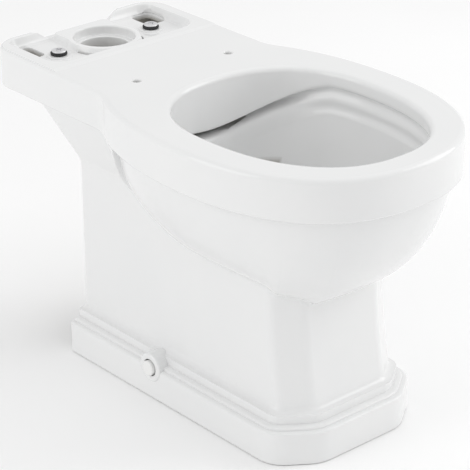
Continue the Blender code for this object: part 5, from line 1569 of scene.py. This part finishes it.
    def oval_hole(self, side: Side) -> Piece:
        """The long hole through the pocket's floor, with a soft rim.

        Args:
            side: Its side.

        Returns:
            The closed tool.
        """
        e = self.edge
        rows = [(0.0, self.tray_roof - self.overrun)]
        rows += [(e * (1 - math.cos(t)), self.floor - e + e * math.sin(t)) for t in (0, 0.3, 0.6, 0.9, 1.2, QUARTER)]
        rows += [(e, self.floor + e / 2), (0.0, self.floor + e * 1.5), (0.0, self.height + self.overrun)]
        rings = [raised(self.oval_plan(out), height) for out, height in rows]
        return place(lay_skin("oval_hole", rings), side.mirror)

    def crescent(self, side: Side) -> Piece:
        """The narrow slot that follows the inlet's seat in front of a bolt.

        Args:
            side: Its side.

        Returns:
            The closed tool.
        """
        turn = [self.crescent_start + (self.crescent_end - self.crescent_start) * i / 20 for i in range(21)]
        points = [(self.crescent_outer * math.cos(a), self.inlet_y + self.crescent_outer * math.sin(a)) for a in turn]
        points += [(self.crescent_inner * math.cos(a), self.inlet_y + self.crescent_inner * math.sin(a))
                   for a in reversed(turn)]
        rings = [raised(points, z) for z in (self.height - self.crescent_depth, self.height + self.overrun)]
        return place(lay_skin("crescent", rings), side.mirror)

    def well(self) -> Piece:
        """The tool that sinks the pocket and leaves the inlet's seat and the bolts' pads.

        Returns:
            The closed tool.
        """
        well = act(self.pocket(), self.gap(), Joining.ADD)
        act(well, self.seat(), Joining.CUT)
        for side in Side:
            act(well, self.pad(side), Joining.CUT)
            act(well, self.oval_hole(side), Joining.ADD)
            act(well, self.crescent(side), Joining.ADD)
        return well

    def at_fixing(self, side: Side) -> Matrix:
        """The frame of a side fixing: its Z looks straight out of the plinth's face."""
        seat = Matrix.Translation((self.fixing_x, self.fixing_y, self.fixing_height))
        return side.mirror @ seat @ Matrix.Rotation(QUARTER, 4, "Y")

    def fixing_boss(self, side: Side) -> Piece:
        """The round boss that interrupts the plinth's mouldings round a side fixing."""
        r, e, proud = self.boss_radius, self.boss_round, self.boss_proud
        profile = rounded((0.0, -self.boss_depth), (r, -self.boss_depth), (r, proud, e, 8), (0.0, proud))
        return place(turn_tool("fixing_boss", profile, 96), self.at_fixing(side))

    def drills(self, side: Side) -> list[Piece]:
        """The tools for the holes of one side.

        Args:
            side: The side.

        Returns:
            The tools for the bolt's hole, the seat hinge's hole and the fixing's hole.
        """
        low, high, r, e = self.tray_roof - self.overrun, self.height + self.overrun, self.hinge_hole, self.hinge_round
        bolt = turn_tool("bolt_hole", [(0.0, low), (self.bolt_hole, low), (self.bolt_hole, high), (0.0, high)], 48)
        hinge = turn_tool("hinge_hole", rounded((0.0, low), (r, low), (r, self.deck, e, 7), (r + e, self.deck),
                                                (r + e, high), (0.0, high)), 64)
        wide, lip, face = self.fixing_hole, self.fixing_lip, self.boss_proud
        fixing = turn_tool("fixing_hole", rounded(
            (0.0, -self.fixing_depth), (wide, -self.fixing_depth), (wide, face, lip, 5), (wide + lip, face),
            (wide + lip, self.overrun), (0.0, self.overrun)), 72)
        place(bolt, Matrix.Translation((side.value * self.bolt_x, self.bolt_y, 0)))
        place(hinge, Matrix.Translation((side.value * self.hinge_x, self.hinge_y, 0)))
        return [bolt, hinge, place(fixing, self.at_fixing(side))]


@dataclass
class Pan:
    """The one china casting, from its skin, basin, hollows and pockets."""

    skin: PanSkin = field(default_factory=PanSkin)
    basin: PanBasin = field(default_factory=PanBasin)
    hollows: PanHollows = field(default_factory=PanHollows)
    pockets: PanPockets = field(default_factory=PanPockets)
    bore_round: float = 0.0001
    merge: float = 0.00001

    def build(self) -> Piece:
        """Models the whole casting.

        Returns:
            The pan.
        """
        pan = lay_skin("pan_china", self.skin.rings())
        act(pan, lay_skin("platform", self.skin.platform_rings()), Joining.ADD)
        for side in Side:
            act(pan, self.pockets.fixing_boss(side), Joining.ADD)
        basin, hollows = self.basin, self.hollows
        act(pan, act(hollows.pedestal(), hollows.tray(), Joining.ADD), Joining.CUT)
        inside = basin.shell()
        spigot = basin.trap(basin.wall, basin.outlet_radius, basin.outlet_end, basin.outlet_round)
        for shell in (spigot, hollows.duct(hollows.duct_wall), hollows.inlet_shell()):
            act(inside, shell, Joining.ADD)
        act(pan, inside, Joining.ADD)
        act(pan, self.pockets.well(), Joining.CUT)
        wet = basin.cavity()
        waste = basin.trap(0, basin.outlet_bore, basin.outlet_end + basin.overrun, self.bore_round)
        for space in (waste, hollows.duct(0), hollows.inlet()):
            act(wet, space, Joining.ADD)
        act(pan, wet, Joining.CUT)
        for side in Side:
            for drill in self.pockets.drills(side):
                act(pan, drill, Joining.CUT)
        mend(pan, merge=self.merge)
        return pan

    def mark_raw(self, pan: Piece) -> None:
        """Marks where the china is bare: the foot it was fired on and the walls of the dry hollows.

        Args:
            pan: The pan.
        """
        layer = pan.data.attributes.new("raw", "FLOAT", "POINT")
        for vertex, value in zip(pan.data.vertices, layer.data):
            point = vertex.co
            foot = point.z < MARK_GAP
            value.value = 1.0 if foot or self.hollows.holds(point) and not self.basin.wets(point) else 0.0

    def dress(self, pan: Piece, finish: Finish) -> None:
        """Glazes the pan and puts it in the frame.

        Args:
            pan: The pan.
            finish: The glaze.
        """
        pan.data.materials.clear()
        pan.data.materials.append(finish)
        self.mark_raw(pan)
        soften(pan, CHINA_ANGLE)
        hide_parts(*CASTING)
        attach(pan, "pan")


@dataclass
class Screw:
    """Sizes of a screw whose head stands on height zero: its head, driver's cross and threaded shank."""

    head: float
    top: float
    cross_width: float
    cross_depth: float
    shank: float
    length: float
    pitch: float
    thread_depth: float
    tool_rise: float = 0.003

    def build(self, name: str, profile: Plan) -> Piece:
        """Turns the head, cuts the cross into it and adds the shank.

        Args:
            name: The object's name.
            profile: The head's (radius, height) points.

        Returns:
            The screw.
        """
        made = lathe(name, profile)
        floor = self.top - self.cross_depth
        act(made, cross_tool(self.head, self.cross_width, floor, self.top + self.tool_rise), Joining.CUT)
        shank = thread(f"{name}_thread", self.shank, self.length, self.pitch, self.thread_depth)
        return act(made, shank, Joining.ADD)


@dataclass
class CisternFixing:
    """The bolts that hold the cistern: bolt, two rubbers, washer and wing nut on each side."""

    screw: Screw = field(default_factory=lambda: Screw(
        head=0.0098, top=0.0028, cross_width=0.0024, cross_depth=0.0019, shank=0.0038, length=0.058, pitch=0.00125,
        thread_depth=0.0006))
    x: float = 0.079
    y: float = 0.262
    head_seat: float = 0.4129
    head_rim: float = 0.0011
    head_edge: float = 0.0004
    clearance: float = 0.0003
    rubber_top: float = 0.4126
    rubber: tuple[float, float, float] = (0.0113, 0.0038, 0.0011)
    lower_rubber_top: float = 0.3987
    lower_rubber: tuple[float, float, float] = (0.0105, 0.003, 0.0009)
    washer_top: float = 0.3954
    washer: tuple[float, float, float] = (0.0100, 0.0014, 0.0003)
    nut_top: float = 0.3937
    hub: float = 0.0075
    hub_height: float = 0.0090
    hub_taper: float = 0.0012
    hub_lean: float = 0.0001
    hub_round: float = 0.0010
    hub_shoulder: float = 0.0026
    hub_lip: float = 0.0006
    wing_end: float = 0.017
    wing_root: float = 0.0055
    wing_height: float = 0.016
    wing_thickness: float = 0.003
    wing_round: float = 0.0009
    seat_gap: float = 0.0003

    def bolt(self) -> Piece:
        """A pan-headed bolt with a driver's cross and a thread down to its tapered end.

        Returns:
            The bolt.
        """
        r, top, rim = self.screw.head, self.screw.top, self.head_rim
        shoulder, brow, crown = (r - 0.0002, top - 0.0004), (r * 0.62, top - 0.0002), (r * 0.35, top)
        profile = rounded((0.0, 0.0), (r, 0.0, self.head_edge, 4), (r, rim))
        profile += bend((r, rim), shoulder, brow, 7) + bend(brow, crown, (0.0, top), 4)
        return self.screw.build("cistern_bolt", profile + [(0.0, top)])

    def ring(self, name: str, radius: float, height: float, edge: float) -> Piece:
        """A washer with rounded edges whose upper face is at height zero.

        Args:
            name: The object's name.
            radius: Its outer radius.
            height: Its thickness.
            edge: Rounding of its outer edges.

        Returns:
            The washer.
        """
        bore, small = self.screw.shank + self.clearance, min(edge, self.clearance)
        return lathe(name, rounded((bore, -height, small, 3), (radius, -height, edge, 5), (radius, 0.0, edge, 5),
                                   (bore, 0.0, small, 3)), bore=True)

    def wing_nut(self) -> Piece:
        """Models a wing nut below height zero: a tapered hub with two rounded blades.

        Returns:
            The nut.
        """
        r, h, edge, shoulder = self.hub, self.hub_height, self.hub_round, -self.hub_shoulder
        foot = r - self.hub_taper
        side = foot + self.hub_lean
        profile = [(0.0, -h), (foot - edge, -h)] + quarter((foot - edge, -h), (foot, -h), (side, edge - h), 5)
        profile += [(side, edge - h), *rounded((r, shoulder), (r, 0.0, self.hub_lip, 4), (0.0, 0.0))]
        made = lathe("wing_nut", profile)
        across, deep, half = (self.wing_end - self.wing_root) / 2, self.wing_height / 2, self.wing_thickness / 2
        for sign in (1, -1):
            wing = drum(across, -half, half, 56)
            place(wing, Matrix.Rotation(QUARTER, 4, "X"))
            wing.scale = (1, 1, deep / across)
            wing.location = (sign * (self.wing_root + across), 0, -deep - self.seat_gap)
            apply_transform()
            bevel_edges(wing, lambda middle, _: abs(abs(middle.y) - half) < NEAR, self.wing_round, 4)
            act(made, wing, Joining.ADD)
        return act(made, drum(self.screw.shank + self.clearance, *WING_BORE), Joining.CUT)

    def build(self, finishes: dict[str, Finish]) -> None:
        """Models each piece once and puts it on both sides.

        Args:
            finishes: The materials, under their slots' names.
        """
        rows = [
            (self.bolt(), "cistern_bolt", "bolt", "stainless_steel", self.head_seat),
            (self.ring("head_rubber", *self.rubber), "head_rubber", "", "black_rubber", self.rubber_top),
            (self.ring("lower_rubber", *self.lower_rubber), "lower_rubber", "", "black_rubber", self.lower_rubber_top),
            (self.ring("steel_washer", *self.washer), "steel_washer", "", "zinc_plated_steel", self.washer_top),
            (self.wing_nut(), "wing_nut", "nut", "zinc_plated_steel", self.nut_top),
        ]
        for master, node, body, slot, height in rows:
            places = [Matrix.Translation((side.value * self.x, self.y, height)) for side in Side]
            fit_pair(master, node, body, finishes[slot], places)


@dataclass
class FloorFixing:
    """The side fixings: sleeve, screw, cover cap, floor bracket and nut on each side."""

    fixing: Screw = field(default_factory=lambda: Screw(
        head=0.0056, top=0.0028, cross_width=0.0015, cross_depth=0.0015, shank=0.0030, length=0.052, pitch=0.0010,
        thread_depth=0.0005))
    x: float = 0.123
    y: float = 0.027
    height: float = 0.045
    head_edge: float = 0.0003
    hole: float = 0.0117
    collar: float = 0.0080
    set_back: float = 0.0045
    bore: float = 0.0036
    inner_end: float = 0.0365
    groove: float = 0.0005
    groove_heights: tuple[float, float, float, float] = (-0.0022, -0.0018, -0.0012, -0.0009)
    end_chamfer: float = 0.0009
    step_chamfer: float = 0.0004
    fine_chamfer: float = 0.0003
    seat_gap: float = 0.0003
    cap: float = 0.0103
    cap_proud: float = 0.0058
    cap_wall: float = 0.0013
    cap_edge: float = 0.0016
    cap_skirt: float = 0.0025
    cap_dome: float = 0.00012
    bracket_outer: float = 0.0847
    bracket_thickness: float = 0.003
    bracket_width: float = 0.034
    bracket_height: float = 0.060
    bracket_foot: float = 0.040
    bracket_bend: float = 0.006
    bracket_corner: float = 0.005
    floor_hole: float = 0.0045
    floor_hole_x: float = 0.059
    nut_x: float = 0.0814
    nut_corners: float = 0.0115
    nut_height: float = 0.005
    nut_flat: float = 0.88
    nut_chamfer: float = 0.0007
    nut_slack: float = 0.0001

    def sleeve(self) -> Piece:
        """The bush in the fixing's hole, with a grooved collar that the cap clips to.

        Returns:
            The sleeve.
        """
        body, collar, bore, low, step = self.hole, self.collar, self.bore, -self.inner_end, -self.set_back
        end, soft, fine, root = self.end_chamfer, self.step_chamfer, self.fine_chamfer, self.collar - self.groove
        foot, rise, fall, head = self.groove_heights
        profile = [(bore, low), (body - end, low), (body, end + low), (body, step - soft), (body - soft, step)]
        profile += [(collar + fine, step), (collar, step + fine), (collar, foot), (root, rise), (root, fall)]
        profile += [(collar, head), (collar, -self.groove), (root, 0.0), (bore + fine, 0.0), (bore, -fine)]
        return lathe("fixing_sleeve", profile, bore=True)

    def screw(self) -> Piece:
        """The long screw, its domed head with a driver's cross.

        Returns:
            The screw.
        """
        r, top, edge = self.fixing.head, self.fixing.top, self.head_edge
        rim, shoulder, brow, crown = (r, top * 0.4), (r - edge, top - edge), (r * 0.45, top - 0.0001), (r * 0.2, top)
        profile = [(0.0, 0.0), (r - edge, 0.0), (r, edge), rim]
        profile += bend(rim, shoulder, brow, 7) + bend(brow, crown, (0.0, top), 3)
        return self.fixing.build("fixing_screw", profile + [(0.0, top)])

    def cover_cap(self) -> Piece:
        """The push-on cap: a shallow cup with a soft rim and a slightly domed face.

        Returns:
            The cap.
        """
        r, top, edge, low, lip = self.cap, self.cap_proud, self.cap_edge, -self.cap_skirt, self.fine_chamfer
        inner, ceiling, brow = r - self.cap_wall, top - self.cap_wall, top - self.cap_dome
        profile = bend((0.0, top), (r * 0.5, top), (r - edge, brow), 5)
        profile += rounded((r - edge, brow), (r, brow, edge, 8), (r, low + lip), (r - lip, low), (inner + lip, low),
                           (inner, low + lip), (inner, ceiling, edge / 2, 5), (0.0, ceiling))[1:]
        return lathe("fixing_cap", profile, 96)

    def bracket(self) -> Piece:
        """Models the right bracket: a strip drawn down, turned through its bend, drawn along the floor and pierced.

        Returns:
            The bracket, in its place.
        """
        outer, thick, wide = self.bracket_outer, self.bracket_thickness, self.bracket_width
        high, turn = self.bracket_height, self.bracket_bend
        clear_selection()
        bpy.ops.mesh.primitive_plane_add(size=1)
        made = bpy.context.object
        made.name = "floor_bracket"
        made.scale = (thick, wide, 1)
        made.location = (outer - thick / 2, self.y, high)
        apply_transform()
        edit_all()
        bpy.ops.mesh.extrude_region_move(TRANSFORM_OT_translate={"value": (0, 0, turn - high)})
        bpy.ops.mesh.spin(steps=10, angle=QUARTER, center=(outer - turn, self.y, turn), axis=(0, 1, 0))
        bpy.ops.mesh.extrude_region_move(TRANSFORM_OT_translate={"value": (turn - self.bracket_foot, 0, 0)})
        leave_edit()
        mend(made, fill=True)
        end = outer - self.bracket_foot

        def corner(middle: Vector, along: Vector) -> bool:
            """Whether an edge is one of the four outer corners."""
            top = abs(middle.z - high) < NEAR and abs(along.x) > ALONG
            foot = abs(middle.x - end) < NEAR and abs(along.z) > ALONG
            return (top or foot) and abs(abs(middle.y - self.y) - wide / 2) < NEAR

        bevel_edges(made, corner, self.bracket_corner, 6)
        level = Matrix.Translation((outer - thick, self.y, self.height)) @ Matrix.Rotation(QUARTER, 4, "Y")
        upright = Matrix.Translation((self.floor_hole_x, self.y, 0))
        for radius, reach, matrix in ((self.bore, BORE_REACH, level), (self.floor_hole, FLOOR_REACH, upright)):
            act(made, place(drum(radius, -reach, reach), matrix), Joining.CUT)
        return made

    def nut(self) -> Piece:
        """A chamfered hexagon nut below height zero.

        Returns:
            The nut.
        """
        r, h, fall = self.nut_corners / 2, self.nut_height, self.nut_chamfer
        made, flat, wide = drum(r, -h, 0.0, 6), r * self.nut_flat, r + self.nut_slack
        profile = [(0.0, -h), (flat, -h), (wide, fall - h), (wide, -fall), (flat, 0.0), (0.0, 0.0)]
        act(made, lathe("chamfer", profile), Joining.KEEP)
        return act(made, drum(self.fixing.shank + self.seat_gap, *NUT_BORE), Joining.CUT)

    def build(self, finishes: dict[str, Finish]) -> None:
        """Models each piece once and puts it on both sides.

        Args:
            finishes: The materials, under their slots' names.
        """
        rows = [
            (self.sleeve(), "fixing_sleeve", "", "grey_plastic", self.x),
            (self.screw(), "fixing_screw", "screw", "zinc_plated_steel", self.x + self.seat_gap),
            (self.cover_cap(), "fixing_cap", "cap", "white_plastic", self.x),
            (self.nut(), "bracket_nut", "", "zinc_plated_steel", self.nut_x),
        ]
        for master, node, body, slot, x in rows:
            places = [Matrix.Translation((side.value * x, self.y, self.height))
                      @ Matrix.Rotation(side.value * QUARTER, 4, "Y") for side in Side]
            fit_pair(master, node, body, finishes[slot], places)
        about = Matrix.Translation((0, self.y, 0))
        places = [about @ Matrix.Rotation(turn, 4, "Z") @ about.inverted() for turn in (0, math.pi)]
        slot = "zinc_plated_steel"
        fit_pair(self.bracket(), "floor_bracket", "", finishes[slot], places)


@dataclass
class Studio:
    """A plain pale floor, soft light from both sides, and the camera."""

    floor_size: float = 12.0
    floor_drop: float = 0.0005
    lights: tuple[tuple[str, Sequence[float], float, float], ...] = (
        ("left_softbox", (-2.6, 0.9, 1.5), 2.0, 16),
        ("right_softbox", (2.6, -1.5, 1.8), 2.0, 30),
        ("top_softbox", (0.6, -0.2, 3.0), 3.0, 8),
    )
    aim: Sequence[float] = (0.0, 0.0, 0.2)
    location: Sequence[float] = (-1.6413, -1.8910, 1.3842)
    azimuth: float = math.radians(-41.0)
    elevation: float = math.radians(25.24)
    roll: float = math.radians(-0.34)
    lens: float = 161.28
    sensor: float = 36.0
    shift: Point = (0.0005, 0.0075)
    world: float = 0.79

    def lay_floor(self, finish: Finish) -> None:
        """Lays a plain floor just under the pan.

        Args:
            finish: The floor's material.
        """
        clear_selection()
        bpy.ops.mesh.primitive_plane_add(size=self.floor_size, location=(0, 0, -self.floor_drop))
        floor = bpy.context.object
        floor.name = "studio_floor"
        floor.data.materials.append(finish)

    def light(self, name: str, location: Sequence[float], size: float, power: float) -> None:
        """Hangs a square soft light that looks at the pan.

        Args:
            name: The light's name.
            location: Where it hangs.
            size: Its side.
            power: Its power in watts.
        """
        lamp = bpy.data.lights.new(name, "AREA")
        lamp.shape = "SQUARE"
        lamp.size = size
        lamp.energy = power
        made = bpy.data.objects.new(name, lamp)
        bpy.context.scene.collection.objects.link(made)
        made.location = location
        made.rotation_euler = (Vector(self.aim) - Vector(location)).to_track_quat("-Z", "Y").to_euler()

    def light_all(self) -> None:
        """Lights the pan from above, from the left and from the right."""
        world = bpy.data.worlds.new("studio")
        bpy.context.scene.world = world
        world.use_nodes = True
        background = world.node_tree.nodes["Background"]
        background.inputs["Color"].default_value = (1, 1, 1, 1)
        background.inputs["Strength"].default_value = self.world
        for light in self.lights:
            self.light(*light)
        bpy.context.scene.view_settings.view_transform = "Standard"

    def stand_camera(self) -> None:
        """Stands the camera where the photograph was taken from."""
        az, el, roll = self.azimuth, self.elevation, self.roll
        back = Vector((math.sin(az) * math.cos(el), -math.cos(az) * math.cos(el), math.sin(el)))
        right = Vector((math.cos(az), math.sin(az), 0))
        up = back.cross(right)
        across = right * math.cos(roll) + up * math.sin(roll)
        upward = up * math.cos(roll) - right * math.sin(roll)
        data = bpy.data.cameras.new("camera")
        data.sensor_width = self.sensor
        data.lens = self.lens
        data.shift_x, data.shift_y = self.shift
        camera = bpy.data.objects.new("camera", data)
        bpy.context.scene.collection.objects.link(camera)
        turned = Matrix((across, upward, back)).transposed().to_4x4()
        camera.matrix_world = Matrix.Translation(self.location) @ turned
        bpy.context.scene.camera = camera


def main() -> None:
    """Builds and dresses every piece, then the studio."""
    logging.basicConfig(level=logging.INFO, format="%(name)s: %(message)s")
    finishes = {finish.name: finish.paint() for finish in (
        GlazedChina(),
        Metal("stainless_steel", (0.80, 0.80, 0.81), (0.70, 0.70, 0.71), (0.266, 0.532), 0.3),
        Metal("zinc_plated_steel", (0.60, 0.61, 0.62), (0.50, 0.51, 0.52), (0.238, 0.476), 0.4),
        Moulded("black_rubber", (0.034, 0.034, 0.035), (0.012, 0.012, 0.013), (0.62, 0.85), 260.0, 4.0, 0.00015, 0.4,
                (0.3, 0.8)),
        Moulded("grey_plastic", (0.35, 0.35, 0.36), (0.31, 0.31, 0.32), (0.425, 0.6)),
        Moulded("white_plastic", (0.87, 0.87, 0.86), (0.84, 0.84, 0.83), (0.187, 0.264)),
    )}
    model = Pan()
    pan = model.build()
    model.dress(pan, finishes["glazed_china"])
    LOG.info("pan: %d faces", len(pan.data.polygons))
    CisternFixing().build(finishes)
    FloorFixing().build(finishes)
    studio = Studio()
    studio.lay_floor(StudioFloor().paint())
    studio.light_all()
    studio.stand_camera()
    LOG.info("studio and camera stand")


if __name__ == "__main__":
    main()
